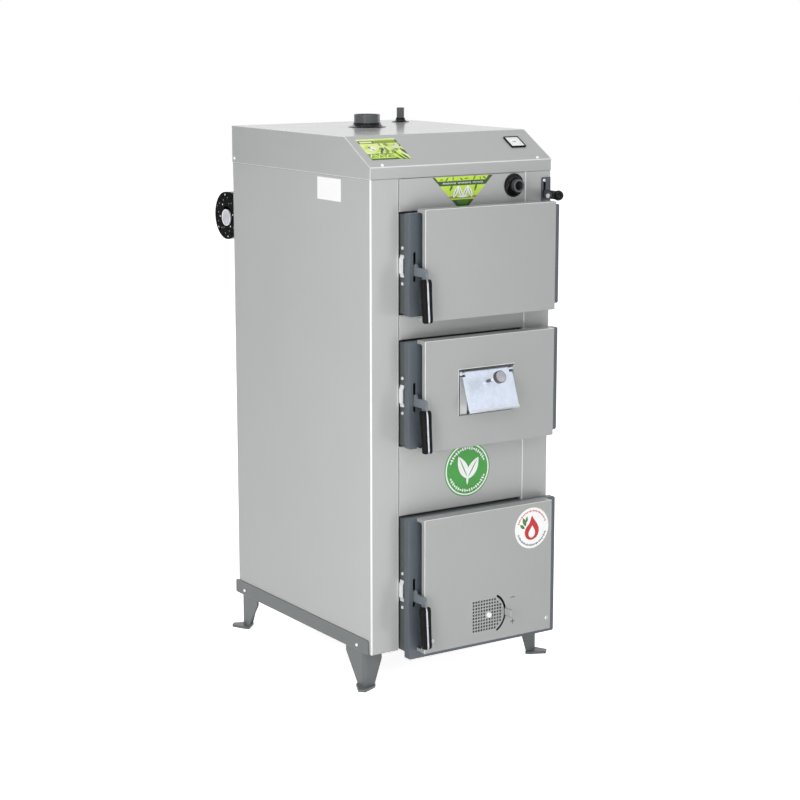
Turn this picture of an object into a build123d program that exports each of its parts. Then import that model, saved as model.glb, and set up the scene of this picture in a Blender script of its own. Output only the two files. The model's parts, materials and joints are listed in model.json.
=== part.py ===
from build123d import *
import os
from math import cos, radians, sin

# Hand-fed solid fuel boiler: a welded water jacket in a folded sheet casing, with three
# front doors, an air flap, an air inlet damper, a bypass damper and a rear blower.
# Millimetres. +Z is up and the doors face -Y. The origin is on the floor, under the
# middle of the bounding box.

os.makedirs("parts", exist_ok=True)

# Casing
casing_width = 560
casing_depth = 700
roof_height = 1320
slope_drop = 70
slope_depth = 120
lip_height = 30
sheet = 1.5
bend_radius = 3
return_width = 85
return_fold = 18
rear_fold = 40
panel_fold = 12
seam = 0.4

# Base rails and legs
leg_height = 100
rail_height = 36
rail_foot = 44
rail_thickness = 3
rail_front_setback = 11
rail_rear_reach = 12
rail_corner = 5
leg_thickness = 5
leg_top_width = 86
leg_cross_width = 52
leg_foot_width = 30
leg_front_setback = 38
leg_rear_setback = 18
leg_bend = 8
pad_thickness = 7
pad_inner_width = 50
pad_outer_width = 20
pad_length = 42

# Water jacket
side_gap = 45
front_gap = 32
rear_gap = 60
bottom_gap = 10
jacket_height = 1220
water_wall = 40
plate = 6
front_plate = 8

# Heat exchanger shelves, grate and ash pan
shelf_thickness = 28
lower_shelf_z = 850
middle_shelf_z = 925
upper_shelf_z = 985
lower_shelf_front_gap = 110
shelf_front_gap = 20
upper_shelf_front_gap = 120
shelf_rear_gap = 105
grate_z = 370
grate_bar_height = 26
grate_bar_top = 24
grate_bar_bottom = 14
grate_pitch = 38
grate_end_gap = 30
grate_play = 2
ledge_width = 20
ledge_thickness = 8
pan_width = 284
pan_height = 80
pan_sheet = 2
pan_front_gap = 30
pan_rear_gap = 50
pan_corner = 12
runner_width = 24
runner_offset = 100
pan_grip_width = 110
pan_grip_depth = 26
pan_grip_rod = 4

# Door frames: a shallow outer surround and an inner throat on one flange
surround_half_width = 189
surround_ahead = 20
surround_sheet = 3
frame_flange = 6
throat_inset = 34
throat_wall = 6
throat_ahead = 24
throat_tail = 6
top_frame_bottom = 881
top_frame_height = 251
middle_frame_drop = 72
middle_frame_height = 266
bottom_frame_bottom = 0
bottom_frame_height = 352
panel_gap = 4

# Door leaves and covers
leaf_over = 4
leaf_skirt = 16
leaf_right_over = 87
leaf_ahead = 42
leaf_depth = 20
leaf_sheet = 3
leaf_corner = 5
cover_left_inset = 21
cover_right_over = 49
cover_depth = 36
cover_sheet = 1.5
cover_bend = 1.2
top_cover_rise = 11
top_cover_drop = 10
middle_cover_rise = 5
middle_cover_drop = 5
bottom_cover_rise = 2
bottom_cover_drop = -21
notch_lip = 14
notch_margin = 9
notch_corner = 6
board_inset = 12
board_reach = 24
rope_width = 14
rope_gap = 0.3

# Door hinges
hinge_edge = 14
hinge_ahead = 18
knuckle_radius = 8
knuckle_length = 22
knuckle_gap = 0.5
knuckle_web = 6
hinge_pin_radius = 4
hinge_bore_gap = 0.06
hinge_pin_head = 6.5
hinge_pin_head_height = 3
hinge_inset = 48
strap_thickness = 4
strap_setoff = 2
running_gap = 1

# Door latches
latch_inset = 13
lever_plate = 6
latch_drop = 11
slot_centre_drop = 4
bottom_slot_drop = 15
slot_length = 75
slot_width = 8
pivot_inset = 9
pivot_radius = 4
pivot_bore_gap = 0.06
pivot_head_radius = 6.5
pivot_head_height = 2.5
latch_lug = 4
latch_lug_height = 26
arm_height = 22
arm_reach = 65
nose_rise = 9
nose_length = 14
tang_depth = 15
grip_top_drop = 18
grip_length = 106
grip_lean = 5.5
grip_scale = 10
grip_depth = 16
grip_round = 3.5
catch_reach = 27
catch_rise = 6
catch_radius = 4
hook_under = 5
hook_clearance = 0.7
hook_depth = 12
beak_length = 7
beak_height = 4
keeper_height = 46
keeper_sheet = 3
keeper_bulge = 6
keeper_depth = 15
keeper_foot = 5
keeper_screw_pitch = 90

# Air flap in the middle door's cover
flap_x = 22
recess_width = 168
recess_height = 116
recess_depth = 27
flap_recess_drop = 9
flap_axis_inset = 4
flap_width = 156
flap_length = 104
flap_sheet = 1.5
flap_lip = 15
flap_lip_chamfer = 11
flap_ear = 10
flap_rod_radius = 3
flap_rod_gap = 0.06
flap_barrel_radius = 5
flap_angle = 20
flap_nut_radius = 9
flap_nut_height = 7
flap_screw_x = 13
flap_screw_drop = 28
flap_screw_radius = 4
flap_screw_gap = 0.06
flap_screw_tail = 32
knob_stand = 60
knob_radius = 16
knob_thickness = 12
knob_flutes = 24
knob_flute_radius = 1
air_hole_radius = 11
air_hole_pitch = 44

# Air inlet in the bottom door's cover
inlet_x = 34
inlet_height = 77
inlet_pitch = 8.6
inlet_hole_radius = 2.2
inlet_rows = 10
inlet_columns = 11
inlet_left = -14
inlet_clear_radius = 9
arc_radius = 54
arc_half_angle = 58
arc_width = 6
inlet_disc_radius = 50
inlet_disc_sheet = 1.5
inlet_disc_gap = 0.4
inlet_stud_radius = 4
inlet_stud_gap = 0.06
inlet_head_radius = 7
inlet_head_height = 4
window_inner = 14
window_outer = 44
window_angle = 44
tab_width = 20
tab_reach = 26
tab_thickness = 4

# Bypass damper: lever, link, shaft and plate
bypass_edge = 23
bypass_height = 1160
bypass_bar_height = 22
bypass_bar = 5
bypass_pivot_inset = 40
bypass_ball_ahead = 62
bypass_ball_radius = 12
bypass_ball_neck = 6
bypass_pivot_radius = 5
bypass_gap = 0.06
bypass_arm = 105
bypass_travel = 22
crank_arm = 40
crank_travel = 60
link_pin_radius = 3
link_eye_radius = 11
link_sheet = 4
link_height = 16
link_side_gap = 1
open_eye_gap = 4.1
shaft_radius = 8
shaft_gap = 0.08
shaft_sleeve_wall = 5
damper_plate = 5
damper_length = 86
damper_side_gap = 4
bracket_inner_edge = 32
bracket_outer_edge = 3.5
bracket_bottom = 1141
bracket_top = 1203
bracket_sheet = 3
bracket_slot_width = 8
bracket_slot_rise = 20
bracket_ear = 4
bracket_corner = 3
return_slot_margin = 5

# Pipes, socket, thermometer and flue
flow_x = -8
flow_inset = 440
flow_radius = 35
flow_wall = 3.6
flow_reach = 34
vent_edge = 77
vent_rear_inset = 104
vent_radius = 10.65
vent_wall = 2.6
vent_reach = 40
return_x = 120
return_height = 130
return_reach = 60
drain_x = -120
drain_height = 70
drain_reach = 40
grommet_wall = 3
grommet_flare = 15
vent_flare = 13
grommet_height = 12
grommet_gap = 0.7
regulator_edge = 121
regulator_height = 1187
regulator_radius = 16.75
regulator_bore = 12.06
regulator_reach = 24
regulator_flare = 13
thermometer_size = 46
thermometer_edge = 69
thermometer_along = 80
thermometer_rise = 3
thermometer_body_radius = 20
thermometer_body_depth = 24
thermometer_corner = 3
flue_height = 1095
flue_radius = 79.5
flue_wall = 4
flue_step = 1
flue_reach = 150

# Blower and air duct
blower_edge = 18
blower_inset = 72
blower_height = 1067
blower_radius = 66
blower_width = 62
blower_sheet = 2
blower_outlet = 46
blower_cap_radius = 26
blower_cap_depth = 5
blower_eye_count = 15
blower_eye_radius = 3
blower_eye_circle = 56
impeller_radius = 52
impeller_width = 40
impeller_plate = 2
impeller_blades = 16
impeller_blade = 1.5
impeller_hub_radius = 10
impeller_inner_share = 0.62
motor_shaft_radius = 4
motor_gap = 0.06
duct_bottom = 210
duct_depth = 40
duct_sheet = 2

# Screws
screw_head_radius = 4.5
screw_head_height = 2.4
screw_radius = 2
screw_length = 5
screw_gap = 0.1
hood_screw_inset = 40
hood_screw_along = 8
hood_side_screw_inset = 12
rail_screw_front = 66
rail_screw_rear = 38

# Levels and planes worked out from the sizes
overrun = 2
half_width = casing_width / 2
half_sheet = sheet / 2
bypass_x = half_width - bypass_edge
bracket_left = half_width - bracket_inner_edge
bracket_right = half_width - bracket_outer_edge
vent_x = half_width - vent_edge
regulator_x = half_width - regulator_edge
thermometer_x = half_width - thermometer_edge
blower_x = -half_width + blower_edge
middle_frame_bottom = top_frame_bottom - middle_frame_drop - middle_frame_height
base_z = leg_height
roof_z = base_z + roof_height
slope_z = roof_z - slope_drop
hood_z = slope_z - lip_height

lean = radians(flap_angle)
front_reach = (leaf_ahead + cover_depth - flap_axis_inset + flap_screw_drop * sin(lean)
               + (knob_stand + knob_thickness) * cos(lean) + knob_radius * sin(lean))
front_y = (front_reach - flue_reach - casing_depth) / 2
rear_y = front_y + casing_depth

jacket_half = half_width - side_gap
chamber_half = jacket_half - water_wall
flue_seat_radius = flue_radius - flue_step
front_plate_y = front_y + front_gap
jacket_front_y = front_plate_y + front_plate
jacket_rear_y = rear_y - rear_gap
chamber_rear_y = jacket_rear_y - water_wall
jacket_bottom_z = base_z + bottom_gap
floor_z = jacket_bottom_z + plate
jacket_top_z = jacket_bottom_z + jacket_height
crown_z = jacket_top_z - water_wall
pan_depth = chamber_rear_y - jacket_front_y - pan_front_gap - pan_rear_gap

throat_half_width = surround_half_width - throat_inset
leaf_left = -surround_half_width - leaf_over
leaf_right = surround_half_width + leaf_right_over
cover_left = -surround_half_width + cover_left_inset
cover_right = surround_half_width + cover_right_over
hinge_x = leaf_right - hinge_edge
latch_x = -surround_half_width + latch_inset
leaf_front_y = front_y - leaf_ahead
leaf_back_y = leaf_front_y + leaf_depth
leaf_inner_y = leaf_front_y + leaf_sheet
cover_front_y = leaf_front_y - cover_depth
hinge_y = front_y - hinge_ahead
pivot_y = leaf_front_y + pivot_inset
throat_front_y = front_y - throat_ahead

# Each door: frame bottom and height, leaf skirt, cover rise and drop past the leaf
doors = {
    "top": (top_frame_bottom, top_frame_height, leaf_over,
            top_cover_rise, top_cover_drop),
    "middle": (middle_frame_bottom, middle_frame_height, leaf_over,
               middle_cover_rise, middle_cover_drop),
    "bottom": (bottom_frame_bottom, bottom_frame_height, leaf_skirt,
               bottom_cover_rise, bottom_cover_drop),
}

# How far the middle of each latch slot lies below the middle of its door frame
slot_drops = {"top": slot_centre_drop, "middle": slot_centre_drop, "bottom": bottom_slot_drop}


def slot_level(name):
    bottom, height, skirt, rise, drop = doors[name]
    return base_z + bottom + height / 2 - slot_drops[name]


def keep(build, label):
    build.part.label = label
    export_step(build.part, "parts/" + label + ".step")


def block(x0, x1, y0, y1, z0, z1, mode=Mode.ADD):
    # A box between two faces in each direction.
    with BuildSketch(Plane.XY.offset(z0)) as footprint:
        with Locations(((x0 + x1) / 2, (y0 + y1) / 2)):
            Rectangle(x1 - x0, y1 - y0)
    extrude(footprint.sketch, amount=z1 - z0, mode=mode)


def rod_x(x0, x1, y, z, radius, mode=Mode.ADD):
    with BuildSketch(Plane.YZ.offset(x0)) as section:
        with Locations((y, z)):
            Circle(radius)
    extrude(section.sketch, amount=x1 - x0, mode=mode)


def rod_y(x, y0, y1, z, radius, mode=Mode.ADD):
    with BuildSketch(Plane.XZ.offset(-y1)) as section:
        with Locations((x, z)):
            Circle(radius)
    extrude(section.sketch, amount=y1 - y0, mode=mode)


def rod_z(x, y, z0, z1, radius, mode=Mode.ADD):
    with BuildSketch(Plane.XY.offset(z0)) as section:
        with Locations((x, y)):
            Circle(radius)
    extrude(section.sketch, amount=z1 - z0, mode=mode)


def water_box(x0, x1, y0, y1, z0, z1):
    # A closed welded box with its water space inside.
    block(x0, x1, y0, y1, z0, z1)
    block(x0 + plate, x1 - plate, y0 + plate, y1 - plate, z0 + plate, z1 - plate,
          mode=Mode.SUBTRACT)


def ring_plate(x0, x1, z0, z1, inset, y_back, depth, corner=0, mode=Mode.ADD):
    # A rectangular frame of the given width, from y_back forward by depth.
    with BuildSketch(Plane.XZ.offset(-y_back)) as outline:
        with Locations(((x0 + x1) / 2, (z0 + z1) / 2)):
            if corner:
                RectangleRounded(x1 - x0, z1 - z0, corner)
            else:
                Rectangle(x1 - x0, z1 - z0)
            Rectangle(x1 - x0 - 2 * inset, z1 - z0 - 2 * inset, mode=Mode.SUBTRACT)
    extrude(outline.sketch, amount=depth, mode=mode)


def screw(plane):
    # A pan head on the surface of the plane, with its shank going in.
    with BuildSketch(plane) as head:
        Circle(screw_head_radius)
    extrude(head.sketch, amount=screw_head_height, taper=18)
    with BuildSketch(plane) as shank:
        Circle(screw_radius)
    extrude(shank.sketch, amount=-screw_length)


def screw_hole(plane):
    with BuildSketch(plane) as hole:
        Circle(screw_radius + screw_gap)
    extrude(hole.sketch, amount=-screw_length, both=True, mode=Mode.SUBTRACT)


# Where the screws sit
slope_plane = Plane(origin=(0, front_y, slope_z), x_dir=(1, 0, 0),
                    z_dir=(0, -slope_drop, slope_depth))
hood_screws = [slope_plane.offset(0).shift_origin(
    slope_plane.from_local_coords((side * (half_width - hood_screw_inset), hood_screw_along, 0)))
    for side in (-1, 1)]
left_side = Plane(origin=(-half_width, 0, 0), x_dir=(0, -1, 0), z_dir=(-1, 0, 0))
right_side = Plane(origin=(half_width, 0, 0), x_dir=(0, 1, 0), z_dir=(1, 0, 0))
hood_side_screws = [side.shift_origin((side.origin.X, rear_y - hood_side_screw_inset,
                                       hood_z + hood_side_screw_inset))
                    for side in (left_side, right_side)]
rail_screws = [side.offset(rail_thickness).shift_origin(
    (side.origin.X + side.z_dir.X * rail_thickness, y, base_z + rail_height / 3))
    for side in (left_side, right_side)
    for y in (front_y + rail_screw_front, rear_y - rail_screw_rear)]


# The bypass linkage: the lever's arm and the shaft's crank swing evenly to both sides of
# upright, and the link's open rear eye takes up the difference between their two arcs.
arm_lean = radians(bypass_travel / 2)
crank_lean = radians(crank_travel / 2)
sleeve = shaft_radius + shaft_sleeve_wall
shelf_rear_y = chamber_rear_y - shelf_rear_gap
bypass_y = front_y + bypass_pivot_inset
bypass_z = base_z + bypass_height
shaft_y = shelf_rear_y + sleeve + seam
arm_pin_y = bypass_y + bypass_arm * sin(arm_lean)
arm_pin_z = bypass_z - bypass_arm * cos(arm_lean)
arc_spread = bypass_arm * (1 - cos(arm_lean)) + crank_arm * (1 - cos(crank_lean))
crank_pin_y = shaft_y + crank_arm * sin(crank_lean)
crank_pin_z = arm_pin_z - arc_spread / 2
shaft_z = crank_pin_z - crank_arm * cos(crank_lean)

# Water jacket
with BuildPart() as jacket_sides:
    for side in (-1, 1):
        inner, outer = sorted((side * chamber_half, side * jacket_half))
        water_box(inner, outer, jacket_front_y, chamber_rear_y, floor_z, crown_z)
        ledge_edge = side * (chamber_half - ledge_width)
        ledge = sorted((side * chamber_half, ledge_edge))
        block(ledge[0], ledge[1], jacket_front_y + grate_end_gap,
              chamber_rear_y - grate_end_gap,
              base_z + grate_z - ledge_thickness, base_z + grate_z)
    rod_x(chamber_half, jacket_half, shaft_y, shaft_z, sleeve)
    rod_x(chamber_half - overrun, jacket_half + overrun, shaft_y, shaft_z,
          shaft_radius + shaft_gap, mode=Mode.SUBTRACT)
    rod_x(-chamber_half, -chamber_half + shaft_sleeve_wall, shaft_y, shaft_z, sleeve)
    rod_x(-chamber_half, -chamber_half + shaft_sleeve_wall + overrun, shaft_y, shaft_z,
          shaft_radius + shaft_gap, mode=Mode.SUBTRACT)
keep(jacket_sides, "jacket_sides")

flue_z = base_z + flue_height
return_z = base_z + return_height
drain_z = base_z + drain_height
duct_right_x = blower_x + blower_width
blower_y = rear_y + blower_inset
blower_z = base_z + blower_height
duct_left_x = blower_x + blower_sheet
duct_top_z = blower_z + blower_radius
duct_bottom_z = base_z + duct_bottom
with BuildPart() as jacket_rear:
    water_box(-jacket_half, jacket_half, chamber_rear_y, jacket_rear_y, floor_z, crown_z)
    rod_y(0, chamber_rear_y, jacket_rear_y, flue_z, flue_seat_radius + plate)
    rod_y(0, chamber_rear_y - overrun, jacket_rear_y + overrun, flue_z, flue_seat_radius,
          mode=Mode.SUBTRACT)
    for x, z, radius in ((return_x, return_z, flow_radius - flow_wall),
                         (drain_x, drain_z, vent_radius - vent_wall)):
        rod_y(x, jacket_rear_y - plate - overrun, jacket_rear_y + overrun, z, radius,
              mode=Mode.SUBTRACT)
keep(jacket_rear, "jacket_rear")

flow_y = front_y + flow_inset
vent_y = rear_y - vent_rear_inset
with BuildPart() as jacket_crown:
    water_box(-jacket_half, jacket_half, jacket_front_y, jacket_rear_y, crown_z, jacket_top_z)
    for x, y, radius in ((flow_x, flow_y, flow_radius - flow_wall),
                         (vent_x, vent_y, vent_radius - vent_wall)):
        rod_z(x, y, jacket_top_z - plate - overrun, jacket_top_z + overrun, radius,
              mode=Mode.SUBTRACT)
keep(jacket_crown, "jacket_crown")

with BuildPart() as jacket_floor:
    block(-jacket_half, jacket_half, jacket_front_y, jacket_rear_y, jacket_bottom_z, floor_z)
    pan_z = base_z + bottom_frame_bottom + throat_inset + throat_wall + seam
    for side in (-1, 1):
        middle = side * runner_offset
        block(middle - runner_width / 2, middle + runner_width / 2,
              jacket_front_y + throat_tail, chamber_rear_y - grate_end_gap, floor_z, pan_z)
keep(jacket_floor, "jacket_floor")

regulator_z = base_z + regulator_height
with BuildPart() as jacket_front:
    block(-jacket_half, jacket_half, front_plate_y, jacket_front_y,
          jacket_bottom_z, jacket_top_z)
    for bottom, height, skirt, rise, drop in doors.values():
        inset = throat_inset
        block(-throat_half_width, throat_half_width, front_plate_y - overrun,
              jacket_front_y + overrun, base_z + bottom + inset,
              base_z + bottom + height - inset, mode=Mode.SUBTRACT)
    rod_y(regulator_x, front_plate_y - overrun, jacket_front_y + overrun, regulator_z,
          regulator_bore, mode=Mode.SUBTRACT)
keep(jacket_front, "jacket_front")

with BuildPart() as exchanger_shelves:
    for level, y0, y1 in (
            (lower_shelf_z, jacket_front_y + lower_shelf_front_gap, chamber_rear_y),
            (middle_shelf_z, jacket_front_y + shelf_front_gap, shelf_rear_y),
            (upper_shelf_z, jacket_front_y + upper_shelf_front_gap, shelf_rear_y)):
        water_box(-chamber_half, chamber_half, y0, y1, base_z + level,
                  base_z + level + shelf_thickness)
keep(exchanger_shelves, "exchanger_shelves")

with BuildPart() as grate_bars:
    bar_length = 2 * (chamber_half - grate_play)
    first_bar_y = jacket_front_y + grate_end_gap + grate_bar_top
    last_bar_y = chamber_rear_y - grate_end_gap - grate_bar_top
    bar_count = int((last_bar_y - first_bar_y) / grate_pitch) + 1
    for index in range(bar_count):
        bar_y = first_bar_y + index * grate_pitch
        with BuildSketch(Plane.YZ.offset(-bar_length / 2)) as bar_section:
            with BuildLine():
                Polyline((bar_y - grate_bar_bottom / 2, base_z + grate_z),
                         (bar_y + grate_bar_bottom / 2, base_z + grate_z),
                         (bar_y + grate_bar_top / 2, base_z + grate_z + grate_bar_height),
                         (bar_y - grate_bar_top / 2, base_z + grate_z + grate_bar_height),
                         close=True)
            make_face()
        extrude(bar_section.sketch, amount=bar_length)
keep(grate_bars, "grate_bars")

with BuildPart() as ash_pan:
    pan_front_y = jacket_front_y + pan_front_gap
    with BuildSketch(Plane.XY.offset(pan_z)) as pan_outline:
        with Locations((0, pan_front_y + pan_depth / 2)):
            RectangleRounded(pan_width, pan_depth, pan_corner)
    extrude(pan_outline.sketch, amount=pan_height)
    with BuildSketch(Plane.XY.offset(pan_z + pan_sheet)) as pan_hollow:
        with Locations((0, pan_front_y + pan_depth / 2)):
            RectangleRounded(pan_width - 2 * pan_sheet, pan_depth - 2 * pan_sheet,
                             pan_corner - pan_sheet)
    extrude(pan_hollow.sketch, amount=pan_height, mode=Mode.SUBTRACT)
    grip_z = pan_z + pan_height * 2 / 3
    with BuildLine() as pan_grip:
        FilletPolyline((-pan_grip_width / 2, pan_front_y, grip_z),
                       (-pan_grip_width / 2, pan_front_y - pan_grip_depth, grip_z),
                       (pan_grip_width / 2, pan_front_y - pan_grip_depth, grip_z),
                       (pan_grip_width / 2, pan_front_y, grip_z),
                       radius=2 * pan_grip_rod)
    with BuildSketch(Plane.XZ.offset(-pan_front_y)) as pan_grip_section:
        with Locations((-pan_grip_width / 2, grip_z)):
            Circle(pan_grip_rod)
    sweep(pan_grip_section.sketch, path=pan_grip.wire())
keep(ash_pan, "ash_pan")


# Door frames
for name, (bottom, height, skirt, rise, drop) in doors.items():
    z0 = base_z + bottom
    z1 = z0 + height
    with BuildPart() as door_frame:
        flange_y = front_plate_y
        ring_plate(-surround_half_width, surround_half_width, z0, z1, surround_sheet,
                   flange_y, front_gap + surround_ahead)
        ring_plate(-surround_half_width, surround_half_width, z0, z1,
                   throat_inset + throat_wall, flange_y, frame_flange)
        ring_plate(-throat_half_width, throat_half_width, z0 + throat_inset,
                   z1 - throat_inset, throat_wall, jacket_front_y + throat_tail,
                   front_plate + throat_tail + front_gap + throat_ahead)
        catch_z = slot_level(name) - latch_drop + catch_rise
        catch_y = pivot_y + catch_reach
        rod_x(-surround_half_width - overrun, -surround_half_width + surround_sheet + overrun,
              catch_y, catch_z, catch_radius + running_gap, mode=Mode.SUBTRACT)
        for side in (-1, 1):
            screw_z = slot_level(name) + side * keeper_screw_pitch / 2
            screw_hole(Plane(origin=(-surround_half_width, front_y - keeper_depth / 2, screw_z),
                             x_dir=(0, -1, 0), z_dir=(-1, 0, 0)))
    keep(door_frame, "door_frame_" + name)

# Zinc keepers on the left of each surround, each with its catch pin, between two screws
keeper_screw_planes = []
with BuildPart() as latch_keepers:
    for name in doors:
        middle_z = slot_level(name)
        catch_z = middle_z - latch_drop + catch_rise
        catch_y = pivot_y + catch_reach
        face_x = -surround_half_width
        half_keeper = keeper_height / 2
        with BuildSketch(Plane.XZ.offset(-front_y)) as keeper_section:
            with BuildLine():
                FilletPolyline(
                    (face_x - keeper_sheet / 2, middle_z - half_keeper - keeper_foot),
                    (face_x - keeper_sheet / 2, middle_z - half_keeper),
                    (face_x - keeper_bulge + keeper_sheet / 2, middle_z - half_keeper
                     + keeper_bulge),
                    (face_x - keeper_bulge + keeper_sheet / 2, middle_z + half_keeper
                     - keeper_bulge),
                    (face_x - keeper_sheet / 2, middle_z + half_keeper),
                    (face_x - keeper_sheet / 2, middle_z + half_keeper + keeper_foot),
                    radius=keeper_sheet)
            trace(line_width=keeper_sheet)
        extrude(keeper_section.sketch, amount=keeper_depth)
        rod_x(face_x - keeper_bulge + keeper_sheet / 2, latch_x + lever_plate + overrun,
              catch_y, catch_z, catch_radius)
        for side in (-1, 1):
            keeper_screw_planes.append(
                Plane(origin=(face_x, front_y - keeper_depth / 2,
                              middle_z + side * keeper_screw_pitch / 2),
                      x_dir=(0, -1, 0), z_dir=(-1, 0, 0)))
keep(latch_keepers, "latch_keepers")


# Casing panels
bracket_low_z = base_z + bracket_bottom
bracket_high_z = base_z + bracket_top
for side, name in ((-1, "left"), (1, "right")):
    with BuildPart() as side_panel:
        with BuildSketch(Plane.XY.offset(base_z)) as panel_section:
            with BuildLine():
                edge_x = half_width - half_sheet
                fold_x = half_width - return_width + half_sheet
                FilletPolyline((side * (half_width - rear_fold), rear_y - half_sheet),
                               (side * edge_x, rear_y - half_sheet),
                               (side * edge_x, front_y + half_sheet),
                               (side * fold_x, front_y + half_sheet),
                               (side * fold_x, front_y + return_fold),
                               radius=bend_radius)
            trace(line_width=sheet)
        extrude(panel_section.sketch, amount=hood_z - seam - base_z)
        for plane in rail_screws:
            if plane.z_dir.X * side > 0:
                screw_hole(plane.offset(-rail_thickness))
        if side > 0:
            slot_left = bracket_left + return_slot_margin
            block(slot_left, half_width - return_slot_margin, front_y - overrun,
                  front_y + sheet + overrun, bracket_low_z + bracket_sheet,
                  bracket_high_z - 2 * return_slot_margin, mode=Mode.SUBTRACT)
        else:
            block(duct_left_x - seam, duct_right_x + seam, rear_y - sheet - overrun,
                  rear_y + overrun, duct_top_z - blower_outlet - seam, duct_top_z + seam,
                  mode=Mode.SUBTRACT)
    keep(side_panel, "side_panel_" + name)

frame_tops = [base_z + bottom + height for bottom, height, skirt, rise, drop in doors.values()]
frame_bottoms = [base_z + bottom for bottom, height, skirt, rise, drop in doors.values()]
panel_spans = {"upper": (frame_tops[0] + panel_gap, hood_z - seam),
               "middle": (frame_tops[1] + panel_gap, frame_bottoms[0] - panel_gap),
               "lower": (frame_tops[2] + panel_gap, frame_bottoms[1] - panel_gap)}
panel_half = half_width - return_width - seam
with BuildPart() as front_panels:
    for name, (z0, z1) in panel_spans.items():
        with BuildSketch(Plane.YZ.offset(-panel_half)) as panel_section:
            with BuildLine():
                FilletPolyline((front_y + panel_fold, z0 + half_sheet),
                               (front_y + half_sheet, z0 + half_sheet),
                               (front_y + half_sheet, z1 - half_sheet),
                               (front_y + panel_fold, z1 - half_sheet),
                               radius=bend_radius)
            trace(line_width=sheet)
        extrude(panel_section.sketch, amount=2 * panel_half)
    rod_y(regulator_x, front_y - overrun, front_y + sheet + overrun, regulator_z,
          regulator_radius + grommet_wall, mode=Mode.SUBTRACT)
keep(front_panels, "front_panels")

slope_x_dir = (1, 0, 0)
dial_plane = Plane(origin=slope_plane.from_local_coords((thermometer_x, thermometer_along, 0)),
                   x_dir=slope_x_dir, z_dir=slope_plane.z_dir)
with BuildPart() as hood:
    with BuildSketch(Plane.YZ.offset(-half_width)) as hood_section:
        with BuildLine():
            Polyline((front_y, hood_z), (front_y, slope_z), (front_y + slope_depth, roof_z),
                     (rear_y, roof_z), (rear_y, hood_z), close=True)
        make_face()
    extrude(hood_section.sketch, amount=casing_width)
    bends = hood.edges().filter_by(Axis.X).filter_by(
        lambda edge: edge.center().Z > hood_z + overrun)
    fillet(bends, radius=bend_radius)
    offset(amount=-sheet, openings=hood.faces().sort_by(Axis.Z)[0])
    rod_z(flow_x, flow_y, roof_z - bend_radius, roof_z + overrun, flow_radius + grommet_wall,
          mode=Mode.SUBTRACT)
    rod_z(vent_x, vent_y, roof_z - bend_radius, roof_z + overrun, vent_radius + grommet_wall,
          mode=Mode.SUBTRACT)
    with BuildSketch(dial_plane) as dial_hole:
        Circle(thermometer_body_radius + seam)
    extrude(dial_hole.sketch, amount=bend_radius, both=True, mode=Mode.SUBTRACT)
    for plane in hood_screws + hood_side_screws:
        screw_hole(plane)
keep(hood, "hood")

rear_panel_y = rear_y - sheet - bend_radius
with BuildPart() as rear_panel:
    block(-half_width + sheet + seam, half_width - sheet - seam, rear_panel_y - sheet,
          rear_panel_y, base_z, hood_z - seam)
    cut = (rear_panel_y - sheet - overrun, rear_panel_y + overrun)
    for x, z, radius in ((0, flue_z, flue_radius + grommet_wall),
                         (return_x, return_z, flow_radius + grommet_wall),
                         (drain_x, drain_z, vent_radius + grommet_wall)):
        rod_y(x, cut[0], cut[1], z, radius, mode=Mode.SUBTRACT)
    block(duct_left_x - seam, duct_right_x + seam, cut[0], cut[1],
          duct_top_z - blower_outlet - seam, duct_top_z + seam, mode=Mode.SUBTRACT)
keep(rear_panel, "rear_panel")

with BuildPart() as base_rails:
    for side in (-1, 1):
        rail_front_y = front_y + rail_front_setback
        wall = sorted((side * half_width, side * (half_width + rail_thickness)))
        block(wall[0], wall[1], rail_front_y, rear_y + rail_rear_reach,
              base_z - rail_thickness, base_z + rail_height)
        foot = sorted((side * half_width, side * (half_width - rail_foot)))
        block(foot[0], foot[1], rail_front_y, rear_y + rail_rear_reach,
              base_z - rail_thickness, base_z)
    corners = base_rails.edges().filter_by(Axis.Y).filter_by(
        lambda edge: edge.center().Z < base_z and abs(edge.center().X) > half_width)
    fillet(corners, radius=bend_radius - seam)
    ends = base_rails.edges().filter_by(Axis.X).filter_by(
        lambda edge: edge.center().Z > base_z + rail_height - seam)
    chamfer(ends, length=rail_corner)
    for plane in rail_screws:
        screw_hole(plane)
    cross = (half_width - rail_foot)
    for y in (front_y + leg_front_setback + leg_top_width / 2, rear_y - leg_rear_setback
              - leg_top_width / 2):
        block(-cross, cross, y - rail_height / 2, y + rail_height / 2,
              base_z - rail_thickness, base_z)
        for side in (-1, 1):
            block(side * runner_offset - runner_width, side * runner_offset + runner_width,
                  y - rail_height / 2, y + rail_height / 2, base_z, jacket_bottom_z)
keep(base_rails, "base_rails")

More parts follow.
